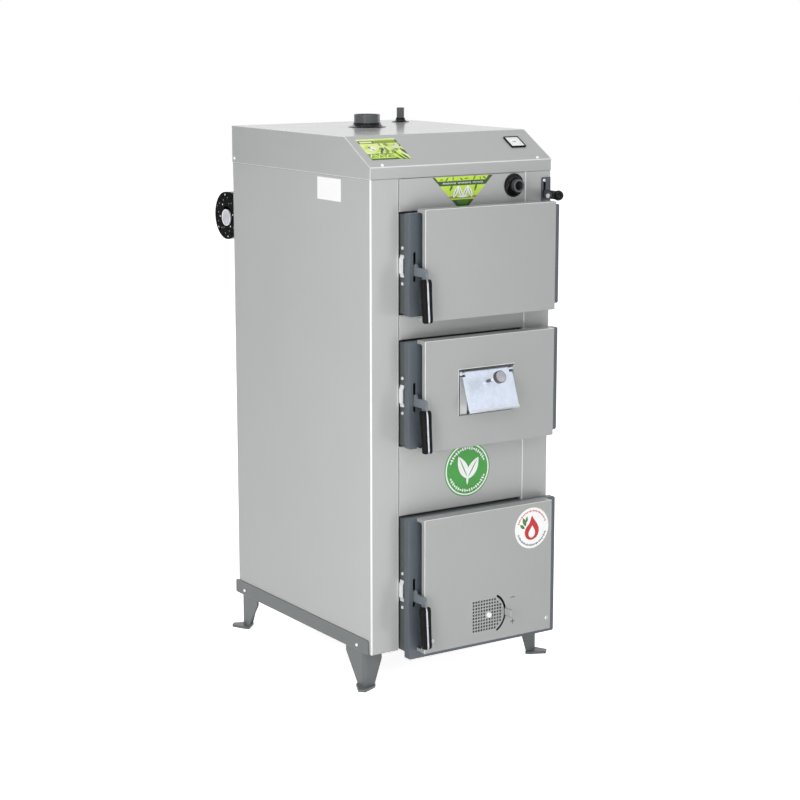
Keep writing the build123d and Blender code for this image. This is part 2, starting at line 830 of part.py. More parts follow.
# Four folded legs with pads that point outwards at the corners
leg_top_z = base_z - rail_thickness
with BuildPart() as legs:
    for side in (-1, 1):
        for end, corner_y in ((-1, front_y + leg_front_setback), (1, rear_y - leg_rear_setback)):
            corner_x = side * (half_width - leg_thickness / 2)
            with BuildSketch(Plane.XY.offset(pad_thickness)) as leg_section:
                with BuildLine():
                    FilletPolyline((corner_x - side * leg_cross_width, corner_y),
                                   (corner_x, corner_y),
                                   (corner_x, corner_y - end * leg_top_width),
                                   radius=leg_bend)
                trace(line_width=leg_thickness)
            leg = extrude(leg_section.sketch, amount=leg_top_z - pad_thickness)
            for across in (True, False):
                cut_top = (leg_cross_width if across else leg_top_width) + leg_thickness
                frame = Plane.XZ if across else Plane.YZ
                middle = corner_x if across else corner_y
                way = -side if across else -end
                depth_middle = corner_y if across else corner_x
                with BuildSketch(frame.offset(-depth_middle if across else depth_middle)) as taper:
                    with BuildLine():
                        Polyline((middle + way * leg_foot_width, pad_thickness - overrun),
                                 (middle + way * leg_foot_width, pad_thickness),
                                 (middle + way * cut_top, leg_top_z - leg_bend),
                                 (middle + way * (cut_top + overrun), leg_top_z - leg_bend),
                                 (middle + way * (cut_top + overrun), pad_thickness - overrun),
                                 close=True)
                    make_face()
                extrude(taper.sketch, amount=leg_thickness, both=True, mode=Mode.SUBTRACT)
            pad_x = corner_x - side * leg_bend
            pad_y = corner_y - end * leg_bend
            pad_plane = Plane(origin=(pad_x, pad_y, 0), x_dir=(side, end, 0), z_dir=(0, 0, 1))
            with BuildSketch(pad_plane) as pad:
                with BuildLine():
                    Polyline((-pad_inner_width / 4, -pad_inner_width / 2),
                             (0, -pad_inner_width / 2), (pad_length, -pad_outer_width / 2),
                             (pad_length, pad_outer_width / 2), (0, pad_inner_width / 2),
                             (-pad_inner_width / 4, pad_inner_width / 2), close=True)
                make_face()
                fillet(pad.vertices(), radius=bend_radius)
            extrude(pad.sketch, amount=pad_thickness)
keep(legs, "legs")

# Pipes, grommets, socket, thermometer and flue
with BuildPart() as water_stubs:
    for x, y, radius, wall, top in ((flow_x, flow_y, flow_radius, flow_wall, flow_reach),
                                    (vent_x, vent_y, vent_radius, vent_wall, vent_reach)):
        rod_z(x, y, jacket_top_z, roof_z + top, radius)
        rod_z(x, y, jacket_top_z - overrun, roof_z + top + overrun, radius - wall,
              mode=Mode.SUBTRACT)
    for x, z, radius, wall, tail in ((return_x, return_z, flow_radius, flow_wall, return_reach),
                                     (drain_x, drain_z, vent_radius, vent_wall, drain_reach)):
        rod_y(x, jacket_rear_y, rear_y + tail, z, radius)
        rod_y(x, jacket_rear_y - overrun, rear_y + tail + overrun, z, radius - wall,
              mode=Mode.SUBTRACT)
keep(water_stubs, "water_stubs")


def grommet(plane, radius, flare):
    # A rubber ring round a pipe that flares out onto the sheet.
    bore = radius + grommet_gap
    with BuildSketch(plane) as section:
        with BuildLine():
            Polyline((bore, 0), (bore + flare, 0), (bore + flare, grommet_wall / 2))
            ThreePointArc((bore + flare, grommet_wall / 2),
                          (bore + flare / 3, grommet_height / 3),
                          (bore + grommet_wall / 2, grommet_height))
            Polyline((bore + grommet_wall / 2, grommet_height), (bore, grommet_height),
                     (bore, 0))
        make_face()
    return section.sketch


with BuildPart() as pipe_grommets:
    for x, y, radius, flare in ((flow_x, flow_y, flow_radius, grommet_flare),
                                (vent_x, vent_y, vent_radius, vent_flare)):
        axis_plane = Plane(origin=(x, y, roof_z), x_dir=(1, 0, 0), z_dir=(0, -1, 0))
        revolve(grommet(axis_plane, radius, flare), axis=Axis((x, y, roof_z), (0, 0, 1)))
    socket_plane = Plane(origin=(regulator_x, front_y, regulator_z), x_dir=(1, 0, 0),
                         z_dir=(0, 0, -1))
    revolve(grommet(socket_plane, regulator_radius, regulator_flare),
            axis=Axis((regulator_x, front_y, regulator_z), (0, 1, 0)))
keep(pipe_grommets, "pipe_grommets")

with BuildPart() as regulator_socket:
    rod_y(regulator_x, front_y - regulator_reach, front_plate_y, regulator_z, regulator_radius)
    rod_y(regulator_x, front_y - regulator_reach - overrun, front_plate_y + overrun,
          regulator_z, regulator_bore, mode=Mode.SUBTRACT)
keep(regulator_socket, "regulator_socket")

with BuildPart() as thermometer:
    with BuildSketch(dial_plane) as bezel:
        RectangleRounded(thermometer_size, thermometer_size, thermometer_corner)
    extrude(bezel.sketch, amount=thermometer_rise)
    with BuildSketch(dial_plane) as body:
        Circle(thermometer_body_radius)
    extrude(body.sketch, amount=-thermometer_body_depth)
keep(thermometer, "thermometer")

with BuildPart() as flue_collar:
    rod_y(0, chamber_rear_y, jacket_rear_y, flue_z, flue_seat_radius)
    rod_y(0, jacket_rear_y, rear_y + flue_reach, flue_z, flue_radius)
    rod_y(0, chamber_rear_y - overrun, rear_y + flue_reach + overrun, flue_z,
          flue_radius - flue_wall, mode=Mode.SUBTRACT)
keep(flue_collar, "flue_collar")

# Blower: scroll housing, perforated cover with its cap, impeller and air duct
with BuildPart() as blower_housing:
    inner_x = blower_x + blower_sheet
    outer_x = blower_x + blower_width
    outlet_y = jacket_rear_y + duct_depth
    with BuildSketch(Plane.YZ.offset(inner_x)) as scroll:
        with Locations((blower_y, blower_z)):
            Circle(blower_radius)
        with Locations(((outlet_y + blower_y) / 2, duct_top_z - blower_outlet / 2)):
            Rectangle(blower_y - outlet_y, blower_outlet)
    extrude(scroll.sketch, amount=blower_width - blower_sheet)
    with BuildSketch(Plane.YZ.offset(inner_x - overrun)) as scroll_hollow:
        with Locations((blower_y, blower_z)):
            Circle(blower_radius - blower_sheet)
    extrude(scroll_hollow.sketch, amount=blower_width - blower_sheet, mode=Mode.SUBTRACT)
    block(inner_x + blower_sheet, outer_x - blower_sheet, outlet_y - overrun, blower_y,
          duct_top_z - blower_outlet + blower_sheet, duct_top_z - blower_sheet,
          mode=Mode.SUBTRACT)
    rod_x(inner_x, outer_x + overrun, blower_y, blower_z, motor_shaft_radius + motor_gap,
          mode=Mode.SUBTRACT)
keep(blower_housing, "blower_housing")

with BuildPart() as blower_cover:
    rod_x(blower_x, inner_x, blower_y, blower_z, blower_radius)
    with BuildSketch(Plane.YZ.offset(blower_x - overrun)) as eyes:
        with Locations((blower_y, blower_z)):
            with PolarLocations(blower_eye_circle, blower_eye_count):
                Circle(blower_eye_radius)
            Circle(blower_cap_radius)
    extrude(eyes.sketch, amount=blower_sheet + 2 * overrun, mode=Mode.SUBTRACT)
keep(blower_cover, "blower_cover")

with BuildPart() as blower_cap:
    rod_x(blower_x - blower_cap_depth, blower_x, blower_y, blower_z,
          blower_cap_radius + blower_sheet)
    rod_x(blower_x, inner_x + impeller_plate, blower_y, blower_z, blower_cap_radius)
    fillet(blower_cap.faces().sort_by(Axis.X)[0].edges(), radius=blower_sheet)
keep(blower_cap, "blower_cap")

impeller_x = inner_x + (blower_width - impeller_width) / 2
with BuildPart() as impeller:
    hub_end = outer_x - blower_sheet - seam
    rod_x(impeller_x + impeller_width - impeller_plate, impeller_x + impeller_width,
          blower_y, blower_z, impeller_radius)
    rod_x(impeller_x, hub_end, blower_y, blower_z, impeller_hub_radius)
    blade_inner = impeller_radius * impeller_inner_share
    blade_middle = (impeller_radius + blade_inner) / 2
    with BuildSketch(Plane.YZ.offset(impeller_x)) as blades:
        with Locations((blower_y, blower_z)):
            with PolarLocations(blade_middle, impeller_blades):
                Rectangle(impeller_radius - blade_inner, impeller_blade, rotation=30)
            Circle(impeller_radius - impeller_blade, mode=Mode.INTERSECT)
    extrude(blades.sketch, amount=impeller_width - impeller_plate)
    rod_x(hub_end, outer_x + blower_cap_depth, blower_y, blower_z, motor_shaft_radius)
keep(impeller, "impeller")

with BuildPart() as air_duct:
    block(duct_left_x, duct_right_x, jacket_rear_y, outlet_y, duct_bottom_z, duct_top_z)
    block(duct_left_x + duct_sheet, duct_right_x - duct_sheet, jacket_rear_y + duct_sheet,
          outlet_y - duct_sheet, duct_bottom_z + duct_sheet, duct_top_z - duct_sheet,
          mode=Mode.SUBTRACT)
    block(duct_left_x + blower_sheet, duct_right_x - duct_sheet,
          outlet_y - 2 * duct_sheet, outlet_y + overrun,
          duct_top_z - blower_outlet + blower_sheet, duct_top_z - blower_sheet,
          mode=Mode.SUBTRACT)
keep(air_duct, "air_duct")

with BuildPart() as casing_screws:
    for plane in hood_screws + hood_side_screws + rail_screws + keeper_screw_planes:
        screw(plane)
keep(casing_screws, "casing_screws")


# Doors
def knuckle_levels(name):
    # The split height of each hinge, where the door's knuckle stands on the fixed one.
    bottom, height, skirt, rise, drop = doors[name]
    z0 = base_z + bottom + hinge_inset
    z1 = base_z + bottom + height - hinge_inset
    return z0, z1


with BuildPart() as hinge_brackets:
    for name in doors:
        for level in knuckle_levels(name):
            low = level - knuckle_length
            rod_z(hinge_x, hinge_y, low, level, knuckle_radius)
            strap_y = front_y - strap_setoff
            block(surround_half_width, hinge_x, strap_y - strap_thickness, strap_y, low, level)
            block(hinge_x - knuckle_web, hinge_x, hinge_y, strap_y, low, level)
            rod_z(hinge_x, hinge_y, low - overrun, level + overrun,
                  hinge_pin_radius + hinge_bore_gap, mode=Mode.SUBTRACT)
keep(hinge_brackets, "hinge_brackets")

with BuildPart() as hinge_pins:
    for name in doors:
        for level in knuckle_levels(name):
            top = level + knuckle_gap + knuckle_length
            rod_z(hinge_x, hinge_y, level - knuckle_length, top + knuckle_gap,
                  hinge_pin_radius)
            rod_z(hinge_x, hinge_y, level - knuckle_length - hinge_pin_head_height,
                  level - knuckle_length, hinge_pin_head)
            rod_z(hinge_x, hinge_y, top + knuckle_gap,
                  top + knuckle_gap + hinge_pin_head_height, hinge_pin_head)
keep(hinge_pins, "hinge_pins")

flap_y = cover_front_y + flap_axis_inset
middle_leaf_z0 = base_z + middle_frame_bottom - leaf_over
middle_leaf_z1 = base_z + middle_frame_bottom + middle_frame_height + leaf_over
recess_z = (middle_leaf_z0 + middle_leaf_z1) / 2
flap_z = recess_z + recess_height / 2 - flap_recess_drop
inlet_z = base_z + inlet_height
air_holes = [flap_x + step * air_hole_pitch for step in (-1, 0, 1)]

for name, (bottom, height, skirt, rise, drop) in doors.items():
    leaf_z0 = base_z + bottom - skirt
    leaf_z1 = base_z + bottom + height + leaf_over
    slot_z = slot_level(name)
    pivot_z = slot_z - latch_drop

    with BuildPart() as leaf:
        with BuildSketch(Plane.XZ.offset(-leaf_back_y)) as leaf_outline:
            with Locations(((leaf_left + leaf_right) / 2, (leaf_z0 + leaf_z1) / 2)):
                RectangleRounded(leaf_right - leaf_left, leaf_z1 - leaf_z0, leaf_corner)
        extrude(leaf_outline.sketch, amount=leaf_depth)
        with BuildSketch(Plane.XZ.offset(-leaf_back_y)) as leaf_hollow:
            with Locations(((leaf_left + leaf_right) / 2, (leaf_z0 + leaf_z1) / 2)):
                RectangleRounded(leaf_right - leaf_left - 2 * leaf_sheet,
                                 leaf_z1 - leaf_z0 - 2 * leaf_sheet, leaf_corner - leaf_sheet)
        extrude(leaf_hollow.sketch, amount=leaf_depth - leaf_sheet, mode=Mode.SUBTRACT)
        with BuildSketch(Plane.XZ.offset(-leaf_inner_y - overrun)) as lever_slot:
            with Locations((latch_x, slot_z)):
                SlotOverall(slot_length, slot_width, rotation=90)
        extrude(lever_slot.sketch, amount=leaf_sheet + 2 * overrun, both=True,
                mode=Mode.SUBTRACT)
        lug_x0 = latch_x + lever_plate / 2 + running_gap
        block(lug_x0, lug_x0 + latch_lug, leaf_inner_y, pivot_y + latch_lug + overrun,
              pivot_z - latch_lug_height / 2, pivot_z + latch_lug_height / 2)
        pin_x = latch_x - lever_plate / 2 - running_gap / 2
        rod_x(pin_x, lug_x0, pivot_y, pivot_z, pivot_radius)
        rod_x(pin_x - pivot_head_height, pin_x, pivot_y, pivot_z, pivot_head_radius)
        for level in knuckle_levels(name):
            low = level + knuckle_gap
            rod_z(hinge_x, hinge_y, low, low + knuckle_length, knuckle_radius)
            block(hinge_x - knuckle_web / 2, hinge_x + knuckle_web / 2, leaf_inner_y, hinge_y,
                  low, low + knuckle_length)
            rod_z(hinge_x, hinge_y, low - overrun, low + knuckle_length + overrun,
                  hinge_pin_radius + hinge_bore_gap, mode=Mode.SUBTRACT)
        if name == "middle":
            for x in air_holes:
                rod_y(x, leaf_front_y - overrun, leaf_inner_y + overrun, recess_z,
                      air_hole_radius, mode=Mode.SUBTRACT)
    keep(leaf, "door_leaf_" + name)

    cover_z0 = leaf_z0 - drop
    cover_z1 = leaf_z1 + rise
    with BuildPart() as cover:
        block(cover_left, cover_right, cover_front_y, leaf_front_y, cover_z0, cover_z1)
        fillet(cover.faces().sort_by(Axis.Y)[0].edges(), radius=cover_bend)
        block(cover_left + cover_sheet, cover_right - cover_sheet,
              cover_front_y + cover_sheet, leaf_front_y + overrun,
              cover_z0 + cover_sheet, cover_z1 - cover_sheet, mode=Mode.SUBTRACT)
        with BuildSketch(Plane.YZ.offset(cover_left - overrun)) as notch:
            notch_front = cover_front_y + notch_lip
            notch_back = leaf_front_y + 2 * notch_corner
            with Locations(((notch_front + notch_back) / 2, (cover_z0 + cover_z1) / 2)):
                RectangleRounded(notch_back - notch_front,
                                 cover_z1 - cover_z0 - 2 * notch_margin, notch_corner)
        extrude(notch.sketch, amount=cover_sheet + 2 * overrun, mode=Mode.SUBTRACT)
        if name == "middle":
            floor_y = cover_front_y + recess_depth
            half_recess = recess_width / 2
            low, high = recess_z - recess_height / 2, recess_z + recess_height / 2
            block(flap_x - half_recess - cover_sheet, flap_x + half_recess + cover_sheet,
                  cover_front_y + cover_sheet, floor_y + cover_sheet,
                  low - cover_sheet, high + cover_sheet)
            block(flap_x - half_recess, flap_x + half_recess, cover_front_y - overrun, floor_y,
                  low, high, mode=Mode.SUBTRACT)
            rod_x(flap_x - half_recess - 2 * overrun, flap_x + half_recess + 2 * overrun,
                  flap_y, flap_z, flap_rod_radius + flap_rod_gap, mode=Mode.SUBTRACT)
            for x in air_holes:
                rod_y(x, floor_y - overrun, floor_y + cover_sheet + overrun, recess_z,
                      air_hole_radius, mode=Mode.SUBTRACT)
        if name == "bottom":
            rows = [inlet_z + (row - (inlet_rows - 1) / 2) * inlet_pitch
                    for row in range(inlet_rows)]
            columns = [inlet_left + column * inlet_pitch for column in range(inlet_columns)]
            edge = arc_radius - arc_width / 2 - inlet_hole_radius - 2 * cover_sheet
            holes = [(x, z) for x in columns for z in rows
                     if inlet_clear_radius < ((x - inlet_x) ** 2 + (z - inlet_z) ** 2) ** 0.5
                     and ((x - inlet_x) ** 2 + (z - inlet_z) ** 2) ** 0.5 < edge
                     or x < inlet_x - inlet_clear_radius]
            with BuildSketch(Plane.XZ.offset(-cover_front_y + overrun)) as perforation:
                with Locations(*[(x, z) for x, z in holes]):
                    Circle(inlet_hole_radius)
                with Locations((inlet_x, inlet_z)):
                    Circle(inlet_stud_radius + inlet_stud_gap)
                    with BuildLine(mode=Mode.PRIVATE) as arc_line:
                        near = CenterArc((0, 0), arc_radius - arc_width / 2,
                                         -arc_half_angle, 2 * arc_half_angle)
                        far = CenterArc((0, 0), arc_radius + arc_width / 2,
                                        -arc_half_angle, 2 * arc_half_angle)
                        Line(near @ 0, far @ 0)
                        Line(near @ 1, far @ 1)
                    add(make_face(arc_line.edges(), mode=Mode.PRIVATE))
                    for end in (-1, 1):
                        end_angle = radians(end * arc_half_angle)
                        with Locations((arc_radius * cos(end_angle),
                                        arc_radius * sin(end_angle))):
                            Circle(arc_width / 2)
            extrude(perforation.sketch, amount=-(cover_sheet + 2 * overrun), mode=Mode.SUBTRACT)
    keep(cover, "door_cover_" + name)

    with BuildPart() as board:
        inset = throat_inset + throat_wall + board_inset
        reach_x = throat_half_width - throat_wall - board_inset
        block(-reach_x, reach_x, leaf_inner_y, front_y + board_reach - throat_ahead,
              base_z + bottom + inset, base_z + bottom + height - inset)
        if name == "middle":
            for x in air_holes:
                rod_y(x, leaf_inner_y - overrun, front_y + board_reach, recess_z,
                      air_hole_radius, mode=Mode.SUBTRACT)
    keep(board, "door_board_" + name)

    with BuildPart() as rope:
        middle = throat_wall / 2 - rope_width / 2
        ring_plate(-throat_half_width + middle, throat_half_width - middle,
                   base_z + bottom + throat_inset + middle,
                   base_z + bottom + height - throat_inset - middle, rope_width,
                   throat_front_y - rope_gap, throat_front_y - rope_gap - leaf_inner_y,
                   corner=rope_width)
    keep(rope, "door_rope_" + name)

    # The lever lies in a plane across X: a hook behind its pivot, an arm out through the
    # slot and a tang that hangs inside the grip.
    beak_u = catch_reach + catch_radius + hook_under
    catch_low = catch_rise - catch_radius
    beak_v = catch_low - hook_clearance
    shank_v = beak_v - beak_height
    half_arm = arm_height / 2
    with BuildPart() as lever:
        plane = Plane(origin=(latch_x - lever_plate / 2, pivot_y, pivot_z), x_dir=(0, 1, 0),
                      z_dir=(1, 0, 0))
        with BuildSketch(plane) as lever_outline:
            with BuildLine():
                Polyline((0, half_arm), (pivot_head_radius, half_arm),
                         (pivot_head_radius + beak_height, shank_v),
                         (beak_u - beak_height, shank_v), (beak_u - beak_height / 2, beak_v),
                         (beak_u + beak_length - beak_height, beak_v),
                         (beak_u + beak_length, shank_v - hook_depth / 2),
                         (beak_u, shank_v - hook_depth), (0, -half_arm),
                         (-arm_reach + tang_depth, -half_arm),
                         (-arm_reach + tang_depth, -half_arm - tang_depth),
                         (-arm_reach, -half_arm - tang_depth),
                         (-arm_reach, half_arm - tang_depth / 2),
                         (-arm_reach + tang_depth / 2, half_arm),
                         (-pivot_inset - nose_length, half_arm),
                         (-pivot_inset - nose_length / 2, half_arm + nose_rise),
                         (0, half_arm), close=True)
            make_face()
        extrude(lever_outline.sketch, amount=lever_plate)
        tang_plane = Plane(origin=(latch_x, pivot_y - arm_reach + tang_depth / 2,
                                   pivot_z - grip_top_drop), x_dir=(1, 0, 0),
                           z_dir=(0, -sin(radians(grip_lean)), -cos(radians(grip_lean))))
        with BuildSketch(tang_plane) as tang:
            Rectangle(lever_plate, tang_depth)
        extrude(tang.sketch, amount=grip_length - grip_round)
        rod_x(latch_x - lever_plate, latch_x + lever_plate, pivot_y, pivot_z,
              pivot_radius + pivot_bore_gap, mode=Mode.SUBTRACT)
    keep(lever, "latch_lever_" + name)

    with BuildPart() as grip:
        for side in (-1, 1):
            scale_plane = tang_plane.shift_origin(
                tang_plane.from_local_coords((side * (lever_plate + grip_scale) / 2, 0, 0)))
            with BuildSketch(scale_plane) as scale:
                RectangleRounded(grip_scale, grip_depth, grip_round)
            extrude(scale.sketch, amount=grip_length)
    keep(grip, "latch_grip_" + name)

# Air flap: built closed against its axis plane, hanging at its resting angle
flap_plane = Plane(origin=(flap_x, flap_y, flap_z), x_dir=(1, 0, 0),
                   z_dir=(0, -cos(lean), sin(lean)))
front_side = flap_barrel_radius
screw_offset = flap_screw_x - flap_x
with BuildPart() as air_flap:
    with BuildSketch(flap_plane.offset(front_side - flap_sheet)) as flap_outline:
        with BuildLine():
            half_flap = flap_width / 2
            Polyline((-half_flap + flap_ear, 0), (half_flap - flap_ear, 0),
                     (half_flap - flap_ear, -flap_ear), (half_flap, -flap_ear),
                     (half_flap, -flap_length), (-half_flap, -flap_length),
                     (-half_flap, -flap_ear), (-half_flap + flap_ear, -flap_ear), close=True)
        make_face()
    extrude(flap_outline.sketch, amount=flap_sheet)
    lip_plane = Plane(origin=flap_plane.from_local_coords((0, -flap_length + flap_sheet,
                                                           front_side)),
                      x_dir=(1, 0, 0), z_dir=(0, -sin(lean), -cos(lean)))
    with BuildSketch(lip_plane) as lip:
        with BuildLine():
            Polyline((-half_flap, -flap_sheet), (half_flap, -flap_sheet),
                     (half_flap, flap_sheet),
                     (half_flap - flap_lip_chamfer, flap_lip - flap_sheet),
                     (-half_flap + flap_lip_chamfer, flap_lip - flap_sheet),
                     (-half_flap, flap_sheet), close=True)
        make_face()
    extrude(lip.sketch, amount=flap_sheet)
    rod_x(flap_x - recess_width / 2 - cover_sheet, flap_x + recess_width / 2 + cover_sheet,
          flap_y, flap_z, flap_rod_radius)
    rod_x(flap_x - half_flap + flap_ear, flap_x + half_flap - flap_ear, flap_y, flap_z,
          flap_barrel_radius)
    nut_plane = flap_plane.offset(front_side).shift_origin(
        flap_plane.from_local_coords((screw_offset, -flap_screw_drop, front_side)))
    with BuildSketch(nut_plane) as nut:
        RegularPolygon(flap_nut_radius, 6)
    extrude(nut.sketch, amount=flap_nut_height)
    with BuildSketch(nut_plane.offset(flap_nut_height + overrun)) as nut_bore:
        Circle(flap_screw_radius + flap_screw_gap)
    extrude(nut_bore.sketch, amount=-(flap_nut_height + flap_sheet + 2 * overrun),
            mode=Mode.SUBTRACT)
keep(air_flap, "air_flap")

with BuildPart() as flap_screw:
    with BuildSketch(nut_plane.offset(-front_side - flap_screw_tail)) as stem:
        Circle(flap_screw_radius)
    extrude(stem.sketch, amount=flap_screw_tail + knob_stand + knob_thickness / 2)
    with BuildSketch(nut_plane.offset(knob_stand - front_side)) as knob_face:
        Circle(knob_radius)
        with PolarLocations(knob_radius, knob_flutes):
            Circle(knob_flute_radius, mode=Mode.SUBTRACT)
    extrude(knob_face.sketch, amount=knob_thickness)
keep(flap_screw, "flap_screw")

# Air inlet damper behind the bottom door's cover
with BuildPart() as inlet_damper:
    disc_y = cover_front_y + cover_sheet + inlet_disc_gap + inlet_disc_sheet
    with BuildSketch(Plane.XZ.offset(-disc_y)) as disc:
        with Locations((inlet_x, inlet_z)):
            Circle(inlet_disc_radius)
            with PolarLocations(0, 3, start_angle=90):
                with BuildLine(mode=Mode.PRIVATE) as window_line:
                    inner = CenterArc((0, 0), window_inner, -window_angle / 2, window_angle)
                    outer = CenterArc((0, 0), window_outer, -window_angle / 2, window_angle)
                    Line(inner @ 0, outer @ 0)
                    Line(inner @ 1, outer @ 1)
                add(make_face(window_line.edges(), mode=Mode.PRIVATE), mode=Mode.SUBTRACT)
    extrude(disc.sketch, amount=inlet_disc_sheet)
    block(inlet_x + inlet_disc_radius - tab_thickness, inlet_x + arc_radius + tab_thickness / 2,
          disc_y - inlet_disc_sheet, disc_y, inlet_z - tab_width / 2, inlet_z + tab_width / 2)
    block(inlet_x + arc_radius - tab_thickness / 2, inlet_x + arc_radius + tab_thickness / 2,
          cover_front_y - tab_reach, disc_y, inlet_z - tab_width / 2, inlet_z + tab_width / 2)
    rod_y(inlet_x, cover_front_y - inlet_disc_gap, disc_y, inlet_z, inlet_stud_radius)
    rod_y(inlet_x, cover_front_y - inlet_disc_gap - inlet_head_height,
          cover_front_y - inlet_disc_gap, inlet_z, inlet_head_radius)
keep(inlet_damper, "inlet_damper")

# Bypass damper
half_bar = bypass_bar_height / 2
bar_left = bypass_x - bypass_bar / 2
bar_right = bypass_x + bypass_bar / 2
link_right = bar_left - link_side_gap
link_left = link_right - link_sheet
with BuildPart() as damper_bracket:
    bracket_middle = (bracket_left + bracket_right) / 2
    with BuildSketch(Plane.XZ.offset(-front_y)) as bracket_face:
        with Locations((bracket_middle, (bracket_low_z + bracket_high_z) / 2)):
            RectangleRounded(bracket_right - bracket_left, bracket_high_z - bracket_low_z,
                             bracket_corner)
        slot_low = bypass_z - half_bar - running_gap
        slot_high = bypass_z + half_bar + bracket_slot_rise
        with Locations((bypass_x, (slot_low + slot_high) / 2)):
            Rectangle(bracket_slot_width, slot_high - slot_low, mode=Mode.SUBTRACT)
    extrude(bracket_face.sketch, amount=bracket_sheet)
    ear_left = bar_right + running_gap
    block(ear_left, ear_left + bracket_ear, front_y - bracket_sheet,
          bypass_y + 2 * bypass_pivot_radius, bypass_z - half_bar / 2, bypass_z + half_bar / 2)
    rod_x(bar_left - running_gap, ear_left, bypass_y, bypass_z, bypass_pivot_radius)
keep(damper_bracket, "damper_bracket")

with BuildPart() as damper_lever:
    with BuildSketch(Plane.YZ.offset(bar_left)) as lever_face:
        with BuildLine():
            Polyline((front_y - bypass_ball_ahead + bypass_ball_radius, bypass_z - half_bar),
                     (front_y - bypass_ball_ahead + bypass_ball_radius, bypass_z + half_bar),
                     (bypass_y, bypass_z + half_bar),
                     (bypass_y, bypass_z - half_bar), close=True)
        make_face()
        with Locations((bypass_y, bypass_z)):
            Circle(half_bar)
        with Locations((arm_pin_y, arm_pin_z)):
            Circle(link_eye_radius)
        with BuildLine():
            across = (link_eye_radius * cos(arm_lean), link_eye_radius * sin(arm_lean))
            Polyline((bypass_y - across[0], bypass_z - across[1]),
                     (bypass_y + across[0], bypass_z + across[1]),
                     (arm_pin_y + across[0], arm_pin_z + across[1]),
                     (arm_pin_y - across[0], arm_pin_z - across[1]), close=True)
        make_face()
        with Locations((bypass_y, bypass_z)):
            Circle(bypass_pivot_radius + bypass_gap, mode=Mode.SUBTRACT)
    extrude(lever_face.sketch, amount=bypass_bar)
    rod_x(link_left - running_gap, bar_left, arm_pin_y, arm_pin_z, link_pin_radius)
keep(damper_lever, "damper_lever")

with BuildPart() as damper_ball:
    ball_y = front_y - bypass_ball_ahead
    with BuildSketch(Plane(origin=(bypass_x, ball_y, bypass_z), x_dir=(0, 1, 0),
                           z_dir=(1, 0, 0))) as ball_half:
        with BuildLine():
            CenterArc((0, 0), bypass_ball_radius, 0, 180)
            Line((bypass_ball_radius, 0), (-bypass_ball_radius, 0))
        make_face()
    revolve(ball_half.sketch, axis=Axis((bypass_x, ball_y, bypass_z), (0, 1, 0)))
    bar_end_y = ball_y + bypass_ball_radius
    block(bypass_x - bypass_bar, bypass_x + bypass_bar, bar_end_y - overrun,
          bar_end_y + overrun, bypass_z - half_bar, bypass_z + half_bar, mode=Mode.SUBTRACT)
    rod_y(bypass_x, ball_y, bar_end_y, bypass_z, bypass_ball_neck)
keep(damper_ball, "damper_ball")

with BuildPart() as damper_link:
    with BuildSketch(Plane.YZ.offset(link_left)) as link_face:
        with Locations(((arm_pin_y + crank_pin_y) / 2, arm_pin_z)):
            Rectangle(crank_pin_y - arm_pin_y, link_height)
        with Locations((arm_pin_y, arm_pin_z), (crank_pin_y, arm_pin_z)):
            Circle(link_eye_radius)
        with Locations((arm_pin_y, arm_pin_z)):
            Circle(link_pin_radius + bypass_gap, mode=Mode.SUBTRACT)
        with Locations((crank_pin_y, arm_pin_z)):
            Circle(link_pin_radius + open_eye_gap, mode=Mode.SUBTRACT)
    extrude(link_face.sketch, amount=link_sheet)
keep(damper_link, "damper_link")

with BuildPart() as bypass_damper:
    rod_x(-chamber_half + seam, bar_right, shaft_y, shaft_z, shaft_radius)
    with BuildSketch(Plane.YZ.offset(bar_left)) as crank_face:
        with Locations((shaft_y, shaft_z)):
            Circle(shaft_radius + bypass_bar)
        with Locations((crank_pin_y, crank_pin_z)):
            Circle(link_eye_radius)
        with BuildLine():
            across = (link_eye_radius * cos(crank_lean), -link_eye_radius * sin(crank_lean))
            Polyline((shaft_y - across[0], shaft_z - across[1]),
                     (shaft_y + across[0], shaft_z + across[1]),
                     (crank_pin_y + across[0], crank_pin_z + across[1]),
                     (crank_pin_y - across[0], crank_pin_z - across[1]), close=True)
        make_face()
    extrude(crank_face.sketch, amount=bypass_bar)
    rod_x(link_left - running_gap, bar_left, crank_pin_y, crank_pin_z, link_pin_radius)
    damper_half = chamber_half - damper_side_gap - shaft_sleeve_wall
    block(-damper_half, damper_half, shaft_y, shaft_y + damper_length,
          shaft_z - damper_plate / 2, shaft_z + damper_plate / 2)
keep(bypass_damper, "bypass_damper")
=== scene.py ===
import json
import math
import bmesh
import bpy
from mathutils import Matrix, Vector


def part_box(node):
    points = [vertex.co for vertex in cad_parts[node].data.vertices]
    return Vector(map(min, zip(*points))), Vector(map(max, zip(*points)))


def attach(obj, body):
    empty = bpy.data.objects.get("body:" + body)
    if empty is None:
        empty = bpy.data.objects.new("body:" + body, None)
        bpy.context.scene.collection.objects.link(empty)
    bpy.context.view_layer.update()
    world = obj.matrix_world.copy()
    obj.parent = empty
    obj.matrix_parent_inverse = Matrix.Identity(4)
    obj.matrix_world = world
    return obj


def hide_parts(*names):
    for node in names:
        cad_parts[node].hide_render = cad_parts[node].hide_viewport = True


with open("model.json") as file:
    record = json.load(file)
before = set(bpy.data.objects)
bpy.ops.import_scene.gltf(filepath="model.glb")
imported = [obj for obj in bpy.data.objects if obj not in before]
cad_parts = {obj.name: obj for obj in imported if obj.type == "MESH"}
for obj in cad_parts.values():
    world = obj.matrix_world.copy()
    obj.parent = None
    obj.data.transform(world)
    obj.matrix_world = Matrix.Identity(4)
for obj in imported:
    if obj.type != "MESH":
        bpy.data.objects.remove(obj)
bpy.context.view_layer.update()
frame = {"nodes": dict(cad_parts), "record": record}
nodes = frame["nodes"]
